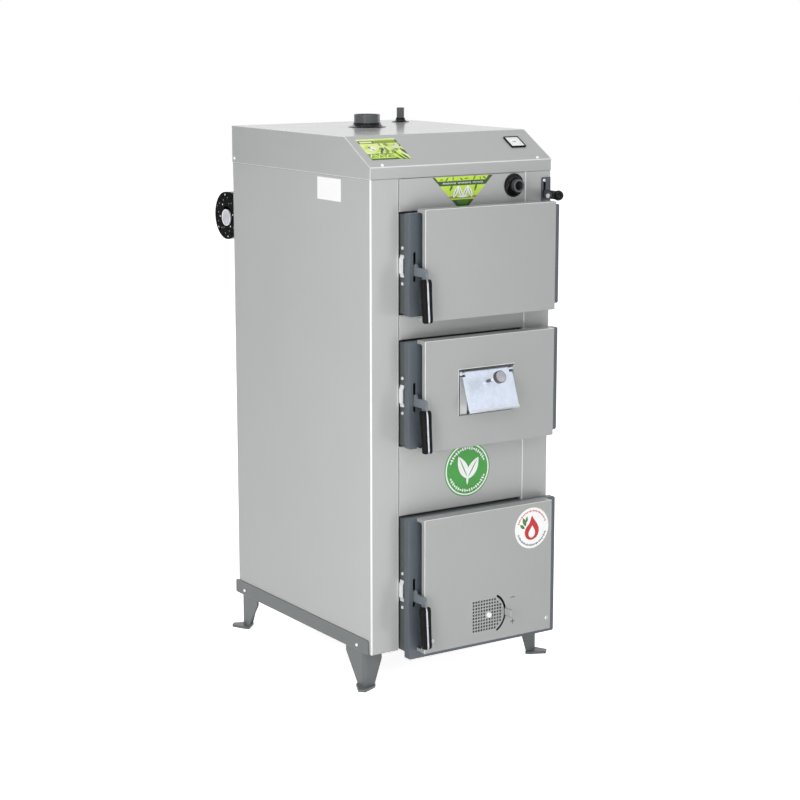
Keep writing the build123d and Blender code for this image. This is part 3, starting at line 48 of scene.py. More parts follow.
print("frame loaded:", len(nodes), "nodes")

mm = 0.001
doors = ("top", "middle", "bottom")
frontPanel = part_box("front_panels")[0].y      # the face of the casing
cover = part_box("door_cover_bottom")[0].y      # the face of the door covers
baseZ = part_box("side_panel_left")[0].z        # underside of the casing


# small helpers for shaders

def blankMaterial(name):
    mat = bpy.data.materials.new(name)
    mat.use_nodes = True
    tree = mat.node_tree
    return mat, tree, tree.nodes["Principled BSDF"]


def addNode(tree, kind, values, links=()):
    # a node with its own values, and the outputs that feed it
    made = tree.nodes.new(kind)
    for socket, value in values.items():
        made.inputs[socket].default_value = value
    for socket, output in links:
        tree.links.new(output, made.inputs[socket])
    return made


def texturePlace(tree, scale=(1, 1, 1), turn=(0, 0, 0)):
    coord = tree.nodes.new("ShaderNodeTexCoord")
    mapping = addNode(tree, "ShaderNodeMapping", {"Scale": scale, "Rotation": turn},
                      [("Vector", coord.outputs["Object"])])
    return mapping.outputs["Vector"]


def noiseField(tree, place, scale, detail=2.0, rough=0.5):
    noise = addNode(tree, "ShaderNodeTexNoise",
                    {"Scale": scale, "Detail": detail, "Roughness": rough}, [("Vector", place)])
    return noise.outputs["Fac"]


def spread(tree, value, low, high):
    ranged = addNode(tree, "ShaderNodeMapRange", {"To Min": low, "To Max": high},
                     [("Value", value)])
    return ranged.outputs["Result"]


def twoTone(tree, value, dark, light, low=0.3, high=0.7):
    ramp = addNode(tree, "ShaderNodeValToRGB", {}, [("Fac", value)])
    for element, position, colour in zip(ramp.color_ramp.elements, (low, high), (dark, light)):
        element.position = position
        element.color = (*colour, 1)
    return ramp.outputs["Color"]


def varied(tree, value, colour, amount):
    # one colour, a little darker and a little lighter
    return twoTone(tree, value, *(tuple(min(1.0, c * share) for c in colour)
                                  for share in (1 - amount, 1 + amount)))


def raised(tree, height, strength, depth, softEdge=0.0):
    bump = addNode(tree, "ShaderNodeBump", {"Strength": strength, "Distance": depth},
                   [("Height", height)])
    if softEdge:
        bevel = addNode(tree, "ShaderNodeBevel", {"Radius": softEdge})
        bevel.samples = 6
        tree.links.new(bevel.outputs["Normal"], bump.inputs["Normal"])
    return bump.outputs["Normal"]


def setSurface(tree, shader, colour, gloss, normal, metal=None, shine=None):
    for socket, output in (("Base Color", colour), ("Roughness", gloss), ("Normal", normal)):
        tree.links.new(output, shader.inputs[socket])
    if metal is not None:
        shader.inputs["Metallic"].default_value = metal
    if shine is not None:
        shader.inputs["Specular IOR Level"].default_value = shine


# finishes

fineRelief = 0.1 * mm
castRelief = 0.4 * mm
weaveRelief = 1.0 * mm


def paintedSheet(name, look):
    # powder coat: a faint cloud in the colour, fine orange peel, softened sheet edges
    mat, tree, shader = blankMaterial(name)
    place = texturePlace(tree)
    cloud = noiseField(tree, place, look["cloudScale"], 3.0)
    patch = noiseField(tree, place, look["cloudScale"] * 4)
    peel = noiseField(tree, place, look["peelScale"], 2.0, 0.6)
    setSurface(tree, shader, varied(tree, cloud, look["colour"], look["cloud"]),
               spread(tree, patch, look["gloss"] - 0.05, look["gloss"] + 0.05),
               raised(tree, peel, look["peel"], fineRelief, look["edge"]),
               look["metal"], look["shine"])
    return mat


def zincPlate(name, look):
    # galvanised sheet: crystals that differ in tone and gloss
    mat, tree, shader = blankMaterial(name)
    place = texturePlace(tree)
    crystals = addNode(tree, "ShaderNodeTexVoronoi", {"Scale": look["crystal"]},
                       [("Vector", place)])
    grain = noiseField(tree, place, look["crystal"] * 2.5, 4.0)
    blend = addNode(tree, "ShaderNodeMixRGB", {"Fac": 0.5},
                    [("Color1", crystals.outputs["Color"]), ("Color2", grain)])
    tone = addNode(tree, "ShaderNodeRGBToBW", {}, [("Color", blend.outputs["Color"])])
    value = tone.outputs["Val"]
    setSurface(tree, shader, twoTone(tree, value, look["dark"], look["light"], 0.25, 0.75),
               spread(tree, value, look["gloss"] + 0.08, look["gloss"] - 0.08),
               raised(tree, grain, 0.15, fineRelief, look["edge"]), look["metal"])
    return mat


def barSteel(name, look):
    # bare steel with fine lines along one direction
    mat, tree, shader = blankMaterial(name)
    lines = noiseField(tree, texturePlace(tree, look["stretch"]), look["grain"], 4.0, 0.7)
    setSurface(tree, shader, twoTone(tree, lines, look["dark"], look["light"]),
               spread(tree, lines, look["gloss"] - 0.06, look["gloss"] + 0.08),
               raised(tree, lines, 0.2, fineRelief, look["edge"]), look["metal"])
    return mat


def mouldedPart(name, look):
    # plastic or rubber with a fine moulded grain
    mat, tree, shader = blankMaterial(name)
    place = texturePlace(tree)
    cloud = noiseField(tree, place, look["grain"] * 0.1)
    grain = noiseField(tree, place, look["grain"], 3.0, 0.6)
    setSurface(tree, shader, varied(tree, cloud, look["colour"], 0.15),
               spread(tree, grain, look["gloss"] - 0.05, look["gloss"] + 0.07),
               raised(tree, grain, look["relief"], fineRelief, look["edge"]),
               None, look["shine"])
    return mat


def roughCast(name, look):
    # cast or scaled surface with stains
    mat, tree, shader = blankMaterial(name)
    place = texturePlace(tree)
    scale = noiseField(tree, place, look["grain"], 6.0, 0.65)
    rust = noiseField(tree, place, look["grain"] * 0.15, 4.0)
    setSurface(tree, shader, twoTone(tree, rust, look["dark"], look["light"], 0.35, 0.75),
               spread(tree, scale, look["gloss"] - 0.1, look["gloss"] + 0.1),
               raised(tree, scale, look["relief"], castRelief, look["edge"]), look["metal"])
    return mat


def braidedRope(name, look):
    mat, tree, shader = blankMaterial(name)
    weave = addNode(tree, "ShaderNodeTexWave", {"Scale": look["weave"], "Distortion": 1.5},
                    [("Vector", texturePlace(tree, (1, 1, 1), (0.7, 0.0, 0.7)))])
    value = weave.outputs["Fac"]
    colour = twoTone(tree, value, look["dark"], look["light"], 0.1, 0.9)
    tree.links.new(colour, shader.inputs["Base Color"])
    tree.links.new(raised(tree, value, 0.7, weaveRelief), shader.inputs["Normal"])
    shader.inputs["Roughness"].default_value = 0.95
    return mat


def vinylPrint(name, colour, variation, gloss=0.32):
    # printed vinyl: almost even, with a slight unevenness in the ink and the film
    mat, tree, shader = blankMaterial(name)
    place = texturePlace(tree)
    ink = noiseField(tree, place, 60.0)
    film = noiseField(tree, place, 400.0)
    tree.links.new(varied(tree, ink, colour, variation), shader.inputs["Base Color"])
    tree.links.new(spread(tree, film, gloss - 0.04, gloss + 0.04), shader.inputs["Roughness"])
    return mat


casingLook = {"colour": (0.425, 0.435, 0.43), "cloud": 0.012, "cloudScale": 5.0,
              "gloss": 0.19, "peel": 0.06, "peelScale": 1400.0, "metal": 0.0,
              "shine": 0.5, "edge": 0.0032}
hoodPaint = {**casingLook, "shine": 0.24, "gloss": 0.17}
coverPaint = {**casingLook, "colour": (0.355, 0.365, 0.36)}
# painted light: a light paint standing in for the bright lines of light along folds and edges, and
# for light in the shaded flap recess
paintedLightLook = {**casingLook, "colour": (0.74, 0.75, 0.745), "gloss": 0.22, "edge": 0.0004}
darkPaint = {"cloud": 0.05, "cloudScale": 9.0, "peel": 0.2, "peelScale": 1100.0, "metal": 0.0,
             "shine": 0.4, "edge": 0.0014}
railLook = {**darkPaint, "colour": (0.122, 0.133, 0.134), "gloss": 0.34}
leafLook = {**darkPaint, "colour": (0.104, 0.122, 0.140), "cloud": 0.04, "gloss": 0.32,
            "peel": 0.15, "shine": 0.35}
surroundLook = {**darkPaint, "colour": (0.100, 0.112, 0.114), "gloss": 0.42, "shine": 0.2,
                "edge": 0.001}
latchLook = {**darkPaint, "colour": (0.165, 0.190, 0.210), "cloud": 0.04, "cloudScale": 20.0,
             "gloss": 0.30, "peel": 0.15, "metal": 0.1, "shine": 0.5, "edge": 0.0016}
bracketLook = {**darkPaint, "colour": (0.075, 0.080, 0.105), "cloudScale": 30.0,
               "gloss": 0.32, "peel": 0.15, "edge": 0.001}
pipeLook = {**darkPaint, "colour": (0.110, 0.118, 0.121), "cloudScale": 30.0, "gloss": 0.30,
            "peelScale": 900.0, "shine": 0.35, "edge": 0.0012}
jacketLook = {"dark": (0.018, 0.018, 0.019), "light": (0.05, 0.043, 0.038), "grain": 90.0,
              "gloss": 0.62, "relief": 0.35, "metal": 0.3, "edge": 0.001}
castLook = {"dark": (0.03, 0.03, 0.031), "light": (0.09, 0.065, 0.05), "grain": 260.0,
            "gloss": 0.7, "relief": 0.6, "metal": 0.5, "edge": 0.0015}
boardLook = {"dark": (0.50, 0.46, 0.38), "light": (0.68, 0.65, 0.58), "grain": 200.0,
             "gloss": 0.9, "relief": 0.5, "metal": 0.0, "edge": 0.0015}
zincLook = {"dark": (0.52, 0.57, 0.64), "light": (0.70, 0.75, 0.82), "crystal": 130.0,
            "gloss": 0.32, "metal": 0.7, "edge": 0.0006}
flapLook = {"dark": (0.56, 0.63, 0.75), "light": (0.67, 0.72, 0.82), "crystal": 120.0,
            "gloss": 0.34, "metal": 0.35, "edge": 0.0016}
brightZincLook = {"dark": (0.76, 0.78, 0.81), "light": (0.90, 0.91, 0.92), "crystal": 400.0,
                  "gloss": 0.24, "metal": 0.25, "edge": 0.0005}
leverLook = {"dark": (0.055, 0.068, 0.066), "light": (0.085, 0.100, 0.098), "grain": 60.0,
             "stretch": (1, 12, 1), "gloss": 0.40, "metal": 0.3, "edge": 0.0008}
turnedLook = {"dark": (0.055, 0.055, 0.06), "light": (0.12, 0.12, 0.125), "grain": 120.0,
              "stretch": (1, 1, 8), "gloss": 0.38, "metal": 0.4, "edge": 0.0008}
blackLook = {"colour": (0.0050, 0.0050, 0.0055), "grain": 900.0, "gloss": 0.14, "relief": 0.03,
             "shine": 0.11, "edge": 0.001}
scrollLook = {"colour": (0.0045, 0.0045, 0.005), "grain": 900.0, "gloss": 0.45, "relief": 0.05,
              "shine": 0.02, "edge": 0.001}
gripLook = {"colour": (0.0075, 0.0075, 0.008), "grain": 700.0, "gloss": 0.15, "relief": 0.03,
            "shine": 0.07, "edge": 0.0012}
rubberLook = {"colour": (0.0060, 0.0060, 0.0065), "grain": 500.0, "gloss": 0.15,
              "relief": 0.04, "shine": 0.16, "edge": 0.001}
damperLook = {"colour": (0.010, 0.010, 0.010), "grain": 500.0, "gloss": 0.5, "relief": 0.1,
              "shine": 0.15, "edge": 0.0004}
knobLook = {"colour": (0.085, 0.080, 0.085), "grain": 500.0, "gloss": 0.40, "relief": 0.1,
            "shine": 0.4, "edge": 0.0006}
knurlLook = {"colour": (0.30, 0.275, 0.275), "grain": 260.0, "gloss": 0.42, "relief": 0.5,
             "shine": 0.4, "edge": 0.0006}
capLook = {"colour": (0.60, 0.60, 0.68), "grain": 400.0, "gloss": 0.34, "relief": 0.05,
           "shine": 0.5, "edge": 0.0008}
ropeLook = {"dark": (0.42, 0.41, 0.38), "light": (0.76, 0.75, 0.71), "weave": 160.0}

finish = {
    "casing_grey": paintedSheet("casingGrey", casingLook),
    "frame_grey": paintedSheet("railGrey", railLook),
    "jacket_steel": roughCast("jacketSteel", jacketLook),
    "cast_iron": roughCast("castGrate", castLook),
    "zinc": zincPlate("zincSheet", zincLook),
    "raw_steel": barSteel("leverSteel", leverLook),
    "black_plastic": mouldedPart("blackMoulding", blackLook),
    "grip_plastic": mouldedPart("gripMoulding", gripLook),
    "black_rubber": mouldedPart("grommetRubber", rubberLook),
    "knob_grey": mouldedPart("knobGrey", knobLook),
    "fan_black": mouldedPart("fanBlack", blackLook),
    "board": roughCast("insulationBoard", boardLook),
    "rope": braidedRope("sealingRope", ropeLook),
}
brightZinc = zincPlate("brightZinc", brightZincLook)
capGrey = mouldedPart("capGrey", capLook)
paintedLight = paintedSheet("paintedLight", paintedLightLook)
leafGrey = paintedSheet("leafGrey", leafLook)
surroundDark = paintedSheet("surroundDark", surroundLook)
latchGrey = paintedSheet("latchGrey", latchLook)
coverGrey = paintedSheet("coverGrey", coverPaint)

slotOf = {s["node"]: s["material_slot"] for s in frame["record"]["subparts"]}
special = {
    "hood": paintedSheet("hoodGrey", hoodPaint),
    "latch_keepers": brightZinc,
    "casing_screws": brightZinc,
    "hinge_pins": brightZinc,
    "regulator_socket": barSteel("turnedSteel", turnedLook),
    "blower_cover": mouldedPart("scrollBlack", scrollLook),
    "blower_cap": capGrey,
    "water_stubs": paintedSheet("pipePaint", pipeLook),
    # painted shade: the damper disc is near black so the air holes in front of it read dark
    "inlet_damper": mouldedPart("damperDark", damperLook),
    "air_flap": zincPlate("flapZinc", flapLook),
    "damper_bracket": paintedSheet("bracketDark", bracketLook),
    "hinge_brackets": leafGrey,
}
for door in doors:
    special["door_cover_" + door] = coverGrey
    special["door_leaf_" + door] = leafGrey
    special["door_frame_" + door] = surroundDark
    special["latch_lever_" + door] = latchGrey
for name, obj in nodes.items():
    mat = special.get(name, finish[slotOf[name]])
    if obj.data.materials:
        for index in range(len(obj.data.materials)):
            obj.data.materials[index] = mat
    else:
        obj.data.materials.append(mat)
print("finishes set")


# small helpers for pieces

def addObject(name, data):
    obj = bpy.data.objects.new(name, data)
    bpy.context.scene.collection.objects.link(obj)
    return obj


def meshOf(name, bm, mats):
    bmesh.ops.recalc_face_normals(bm, faces=bm.faces)
    mesh = bpy.data.meshes.new(name)
    bm.to_mesh(mesh)
    bm.free()
    for mat in mats:
        mesh.materials.append(mat)
    return mesh


def makePiece(name, bm, mats, body, matrix=None, smoothAngle=35):
    mesh = meshOf(name, bm, mats)
    obj = addObject(name, mesh)
    if matrix is not None:
        obj.matrix_world = matrix
    if smoothAngle:
        mesh.shade_smooth()
        mesh.set_sharp_from_angle(angle=math.radians(smoothAngle))
    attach(obj, body)
    return obj


def loft(bm, rings, material=0):
    # joins rings of equal length and closes both ends
    made = [[bm.verts.new(p) for p in ring] for ring in rings]
    for a, b in zip(made, made[1:]):
        for i in range(len(a)):
            j = (i + 1) % len(a)
            bm.faces.new((a[i], a[j], b[j], b[i])).material_index = material
    bm.faces.new(list(reversed(made[0]))).material_index = material
    bm.faces.new(made[-1]).material_index = material


def slabInto(bm, points, z0, z1, material=0):
    # a flat outline given a thickness between two levels
    loft(bm, [[(x, y, z) for x, y in points] for z in (z0, z1)], material)


def circlePoints(cx, cy, radius, count=48, start=0.0):
    return [(cx + radius * math.cos(start + 2 * math.pi * i / count),
             cy + radius * math.sin(start + 2 * math.pi * i / count)) for i in range(count)]


def roundedPoints(width, height, radius, steps=5, cx=0.0, cy=0.0):
    points = []
    for sx, sy, start in ((1, 1, 0), (-1, 1, 90), (-1, -1, 180), (1, -1, 270)):
        for i in range(steps + 1):
            angle = math.radians(start + 90 * i / steps)
            points.append((cx + sx * (width / 2 - radius) + radius * math.cos(angle),
                           cy + sy * (height / 2 - radius) + radius * math.sin(angle)))
    return points


def turnPoints(points, angle, cx=0.0, cy=0.0):
    # points turned about the origin and moved
    c, s = math.cos(angle), math.sin(angle)
    return [(cx + x * c - y * s, cy + x * s + y * c) for x, y in points]


def leafPoints(cx, cy, length, width, angle, steps=10):
    # a pointed leaf outline, length along the angle in degrees
    points = []
    for side in (1, -1):
        for i in range(steps):
            t = i / steps if side > 0 else 1 - i / steps
            x = length * (t - 0.5)
            y = side * width / 2 * math.sin(math.pi * t) ** 0.8 * (1 - 0.25 * t)
            points.append((x, y))
    return turnPoints(points, math.radians(angle), cx, cy)


def turnedInto(bm, radius, height, profile, count, cx=0.0, cy=0.0):
    # a turned shape from a profile of radius and height shares
    loft(bm, [[(x, y, rise * height) for x, y in circlePoints(cx, cy, share * radius, count)]
              for share, rise in profile])


def onPlane(origin, right, up):
    # a matrix whose x is right, y is up and z stands off the surface
    right = Vector(right).normalized()
    up = Vector(up).normalized()
    out = right.cross(up)
    matrix = Matrix((right, up, out)).transposed().to_4x4()
    matrix.translation = Vector(origin)
    return matrix


def onFront(x, z, y=frontPanel):
    # a place on a face that looks forward, x and z in millimetres
    return onPlane((x * mm, y, baseZ + z * mm), (1, 0, 0), (0, 0, 1))


def onLeft(x, y, z):
    # a place on a face that looks to the left
    return onPlane((x, y, z), (0, -1, 0), (0, 0, 1))


def label(name, outline, layers, colours, matrix, body):
    # a film with flat printed shapes on it, each a hair above the last
    filmBottom, filmTop, layerStep = 0.05 * mm, 0.2 * mm, 0.02 * mm
    bm = bmesh.new()
    slabInto(bm, outline, filmBottom, filmTop, 0)
    level = filmTop
    for colourIndex, points in layers:
        slabInto(bm, points, level, level + layerStep, colourIndex)
        level += layerStep
    makePiece(name, bm, colours, body, matrix, 0)


def inkOf(*names):
    return [vinyl[name] for name in names]


def leavesOf(rows, across, up, wide=1.0):
    # leaves from rows of place, length, width, angle and tone
    return [(tone, leafPoints(across * cx, up * cy, up * length, up * width * wide, angle))
            for cx, cy, length, width, angle, tone in rows]


def leafRing(count, gap, reach, sizes, turns, tone):
    # a ring of small leaves in two arcs, standing in for lettering
    leaves = []
    for i in range(count):
        if i % (count // 2) in gap:
            continue
        a = 2 * math.pi * i / count
        length, width = sizes(i)
        leaves.append((tone(i), leafPoints(reach * math.cos(a), reach * math.sin(a), length,
                                           width, math.degrees(a) + turns(i), 4)))
    return leaves


# printed labels, plain motifs in the label colours

# colour of each film, and how much it varies
vinylColours = {
    "lime": ((0.53, 0.74, 0.06), 0.04),
    "paleLime": ((0.70, 0.79, 0.30), 0.04),
    "olive": ((0.22, 0.29, 0.02), 0.04),
    "band": ((0.14, 0.30, 0.015), 0.04),
    "leaf": ((0.05, 0.17, 0.015), 0.04),
    "deepGreen": ((0.015, 0.07, 0.01), 0.04),
    "signGreen": ((0.042, 0.31, 0.042), 0.04),
    "white": ((0.88, 0.89, 0.88), 0.02),
    "plateWhite": ((0.96, 0.96, 0.96), 0.01),
    "warmWhite": ((0.80, 0.81, 0.79), 0.02),
    "red": ((0.50, 0.008, 0.012), 0.04),
    "ink": ((0.03, 0.03, 0.03), 0.04),
}
vinyl = {name: vinylPrint("vinyl" + name[0].upper() + name[1:], *look)
         for name, look in vinylColours.items()}

hoodLow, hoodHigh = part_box("hood")
slopeLook = {"bottomZ": 1250, "angle": math.degrees(math.atan2(70, 120)),
             "length": math.hypot(70, 120), "returnWidth": 85}
slopeUp = Vector((0, math.cos(math.radians(slopeLook["angle"])),
                  math.sin(math.radians(slopeLook["angle"]))))
slopeFoot = Vector((0, frontPanel, baseZ + slopeLook["bottomZ"] * mm))


def onSlope(x, along):
    return slopeFoot + Vector((x * mm, 0, 0)) + slopeUp * along * mm


slopeLabelLook = {"centreX": -198, "along": 77, "width": 116, "height": 92, "corner": 2}
w, h = slopeLabelLook["width"] * mm, slopeLabelLook["height"] * mm


def bar(left, right, low, high):
    # a rectangle given in shares of the label, from -0.5 to 0.5 each way
    return [(w * left, h * low), (w * right, h * low), (w * right, h * high), (w * left, h * high)]


slopeLayers = [(2, bar(-0.5, 0.5, 0.28, 0.42)), (4, bar(-0.5, -0.12, 0.28, 0.42)),
               (0, bar(-0.46, -0.15, 0.31, 0.39)), (1, bar(-0.02, 0.44, 0.43, 0.47)),
               (4, bar(0.455, 0.5, 0.30, 0.44)), (1, bar(0.14, 0.45, 0.14, 0.26)),
               (2, bar(0.16, 0.42, 0.17, 0.20)), (4, bar(0.46, 0.5, 0.10, 0.26)),
               (3, bar(-0.5, 0.5, -0.5, -0.20)), (4, bar(-0.5, 0.22, -0.5, -0.44)),
               (4, bar(0.16, 0.5, -0.5, -0.14))]
for i in range(9):
    slopeLayers.append((1 if i % 2 else 0,
                        leafPoints(w * (-0.44 + 0.07 * i), -h * 0.30, h * 0.24, h * 0.050,
                                   118 if i % 3 else 62)))
slopeLayers.append((1, bar(-0.46, 0.14, -0.43, -0.385)))
slopeLayers += leavesOf((
    (-0.27, 0.06, 0.34, 0.10, 140, 4), (-0.23, 0.04, 0.30, 0.08, 138, 5),
    (-0.05, 0.02, 0.18, 0.08, 20, 3), (0.06, 0.00, 0.20, 0.07, 95, 3),
    (-0.14, -0.06, 0.26, 0.07, 12, 1), (0.30, -0.04, 0.22, 0.08, 8, 2),
    (0.21, -0.34, 0.40, 0.13, 116, 1), (0.34, -0.28, 0.56, 0.15, 114, 1),
    (0.43, -0.30, 0.56, 0.14, 116, 0), (0.28, -0.37, 0.30, 0.07, 112, 4),
    (0.40, -0.38, 0.34, 0.07, 112, 4), (0.48, -0.16, 0.40, 0.10, 112, 4)), w, h, 1.3)
for i in range(34):
    # scattered leaf marks, pale in the middle and dark towards the edges
    cx, cy = ((i * 37) % 100) / 112 - 0.44, ((i * 61) % 100) / 230 - 0.19
    tone = (5, 0, 3, 1, 4, 0, 5, 2)[i % 8]
    slopeLayers.append((tone, leafPoints(w * cx, h * cy, h * (0.13 + 0.03 * (i % 3)),
                                         h * (0.045 + 0.012 * (i % 2)), (i * 67) % 180, 6)))
slopeLayers = [(tone, [(max(-w / 2, min(w / 2, x)), max(-h / 2, min(h / 2, y)))
                       for x, y in points]) for tone, points in slopeLayers]
label("slopeLabel", roundedPoints(w, h, slopeLabelLook["corner"] * mm), slopeLayers,
      inkOf("paleLime", "lime", "olive", "band", "deepGreen", "white"),
      onPlane(onSlope(slopeLabelLook["centreX"], slopeLabelLook["along"]), (1, 0, 0), slopeUp),
      "boiler")

pennant = {"topLeft": -95, "topRight": 92, "bottomLeft": -19, "bottomRight": 17,
           "top": 1217, "bottom": 1142}
midX = (pennant["topLeft"] + pennant["topRight"]) / 2
midZ = (pennant["top"] + pennant["bottom"]) / 2
halfH = (pennant["top"] - pennant["bottom"]) / 2 * mm


def pennantPoint(across, upShare):
    # across and upShare run from 0 to 1 inside the tapering outline
    left = pennant["bottomLeft"] + (pennant["topLeft"] - pennant["bottomLeft"]) * upShare
    right = pennant["bottomRight"] + (pennant["topRight"] - pennant["bottomRight"]) * upShare
    return ((left + (right - left) * across - midX) * mm, halfH * (2 * upShare - 1))


def pennantBand(low, high, left=0.0, right=1.0):
    return [pennantPoint(left, low), pennantPoint(right, low), pennantPoint(right, high),
            pennantPoint(left, high)]


pennantLayers = [
    (1, pennantBand(0.70, 0.86)), (1, pennantBand(0.70, 1.0, 0.93, 1.0)),
    (1, pennantBand(0.78, 1.0, 0.0, 0.04)), (0, pennantBand(0.88, 1.0, 0.05, 0.92)),
    (5, pennantBand(0.27, 0.34)), (1, pennantBand(0.0, 0.22)),
    (3, pennantBand(0.06, 0.20, 0.2, 0.8)),
]
for i in range(30):
    if i % 11 != 10:
        x, z = pennantPoint(0.11 + 0.027 * i, 0.785)
        pennantLayers.append((2, leafPoints(x, z, (5.2 if i % 4 else 6.2) * mm, 2.2 * mm,
                                            100 if i % 3 else 70, 4)))
for i, share in enumerate((0.12, 0.22, 0.33, 0.47, 0.56, 0.70, 0.81, 0.88)):
    x, z = pennantPoint(share, 0.925 + 0.012 * (i % 3 - 1))
    pennantLayers.append((3 if i % 2 else 5, leafPoints(x, z, (11 + 3 * (i % 3)) * mm, 4 * mm,
                                                        (i * 47) % 180, 6)))
pennantLayers += leavesOf((
    (-36, 10, 20, 7, 60, 3), (40, 10, 24, 7, 70, 3),
    (-22, -1, 34, 12, 64, 2), (-8, -1, 34, 12, 112, 2), (8, -1, 34, 12, 64, 2),
    (22, -1, 34, 12, 112, 2), (0, -13, 40, 6, 0, 2),
    (-22, -1, 22, 2.4, 64, 3), (-8, -1, 22, 2.4, 112, 3), (8, -1, 22, 2.4, 64, 3),
    (22, -1, 22, 2.4, 112, 3)), mm, mm)
label("panelPennant", pennantBand(0, 1), pennantLayers,
      inkOf("lime", "deepGreen", "white", "leaf", "paleLime", "olive"),
      onFront(midX, midZ), "boiler")

roundLook = {"x": 18, "z": 454, "radius": 72}
r = roundLook["radius"] * mm
roundLayers = [(1, circlePoints(0, 0, r * 0.955, 72)), (0, circlePoints(0, 0, r * 0.90, 72))]
roundLayers += leafRing(48, (0, 1, 2, 22, 23), r * 0.785,
                        lambda i: (r * (0.15 if i % 3 else 0.12), r * 0.075),
                        lambda i: 8 if i % 3 else 82, lambda i: 1)
# two bold leaves on a stalk
roundLayers += leavesOf((
    (-0.19, 0.08, 0.98, 0.46, 116, 1), (0.24, 0.02, 0.92, 0.44, 58, 1),
    (0, -0.36, 0.44, 0.11, 88, 1), (-0.18, 0.08, 0.80, 0.05, 116, 0),
    (0.23, 0.02, 0.74, 0.05, 58, 0)), r, r)
label("panelRoundLabel", circlePoints(0, 0, r, 96), roundLayers,
      inkOf("signGreen", "white"), onFront(roundLook["x"], roundLook["z"]), "boiler")

doorRoundLook = {"x": 172, "z": 291, "radius": 55}
r = doorRoundLook["radius"] * mm
flameOuter = [(0.02, 0.60), (0.08, 0.50), (0.16, 0.38), (0.27, 0.25), (0.36, 0.11), (0.42, -0.04),
              (0.43, -0.20), (0.38, -0.36), (0.28, -0.48), (0.14, -0.56), (-0.02, -0.59),
              (-0.18, -0.56), (-0.31, -0.47), (-0.39, -0.34), (-0.42, -0.19), (-0.39, -0.04),
              (-0.31, 0.08), (-0.22, 0.16), (-0.16, 0.22), (-0.10, 0.32), (-0.06, 0.44),
              (-0.03, 0.54)]
flameInner = [(0.03, 0.12), (0.11, 0.00), (0.18, -0.13), (0.20, -0.27), (0.15, -0.40),
              (0.04, -0.47), (-0.09, -0.46), (-0.18, -0.36), (-0.19, -0.23), (-0.13, -0.11),
              (-0.05, -0.01)]
doorRoundLayers = [(1, [(x * r, y * r) for x, y in flameOuter]),
                   (0, [(x * r, y * r) for x, y in flameInner])]
doorRoundLayers += leavesOf((
    (-0.44, 0.34, 0.46, 0.22, 112, 2), (-0.56, 0.12, 0.36, 0.18, 142, 2),
    (-0.30, 0.46, 0.30, 0.14, 84, 2)), r, r)
doorRoundLayers += leafRing(56, (0, 1, 2, 26, 27), r * 0.84,
                            lambda i: (r * 0.13, r * (0.05 if i % 3 else 0.065)),
                            lambda i: 8 if i % 2 else 84, lambda i: 1 if i < 28 else 3)
label("doorRoundLabel", circlePoints(0, 0, r, 96), doorRoundLayers,
      inkOf("white", "red", "leaf", "ink"),
      onFront(doorRoundLook["x"], doorRoundLook["z"], cover), "door_bottom")

plateLook = {"fromFront": 194, "z": 1184, "width": 114, "height": 57, "corner": 1}
label("sidePlate", roundedPoints(plateLook["width"] * mm, plateLook["height"] * mm,
                                 plateLook["corner"] * mm),
      [(1, [(-0.030, 0.014), (0.044, 0.014), (0.044, 0.0145), (-0.030, 0.0145)]),
       (1, [(-0.048, -0.019), (0.020, -0.019), (0.020, -0.0185), (-0.048, -0.0185)])],
      inkOf("plateWhite", "warmWhite"),
      onLeft(hoodLow.x, frontPanel + plateLook["fromFront"] * mm,
             baseZ + plateLook["z"] * mm), "boiler")
print("labels placed")


# painted highlights: bright lines laid over the folds and edges of the painted sheets

foldLook = {"panel": 3.75, "hood": 3.0, "cover": 1.2, "lift": 0.06, "tape": 1.3}


def foldHighlightStrip(bm, start, end, outA, outB, radius):
    # a thin skin of painted highlight over the round of a fold, or an angle strip over a sharp
    # edge
    start, end = Vector(start), Vector(end)
    outA, outB = Vector(outA).normalized(), Vector(outB).normalized()
    lift = foldLook["lift"] * mm
    together = outA.dot(outB)
    profile = []
    if radius:
        centre = (outA + outB) * (-radius * mm / (1 + together))
        for i in range(9):
            out = outA.slerp(outB, i / 8)
            profile.append((centre + out * (radius * mm - lift),
                            centre + out * (radius * mm + lift)))
    else:
        alongA = -(outB - outA * together).normalized()
        alongB = -(outA - outB * together).normalized()
        wide = foldLook["tape"] * mm
        profile = [(alongA * wide - outA * lift, alongA * wide + outA * lift),
                   (-(outA + outB) * lift, (outA + outB) * lift * 1.5),
                   (alongB * wide - outB * lift, alongB * wide + outB * lift)]
    ring = [outer for inner, outer in profile] + [inner for inner, outer in reversed(profile)]
    loft(bm, [[tuple(base + point) for point in ring] for base in (start, end)])


def foldHighlightPiece(name, strips, body):
    bm = bmesh.new()
    for strip in strips:
        foldHighlightStrip(bm, *strip)
    makePiece(name, bm, [paintedLight], body, None, 40)


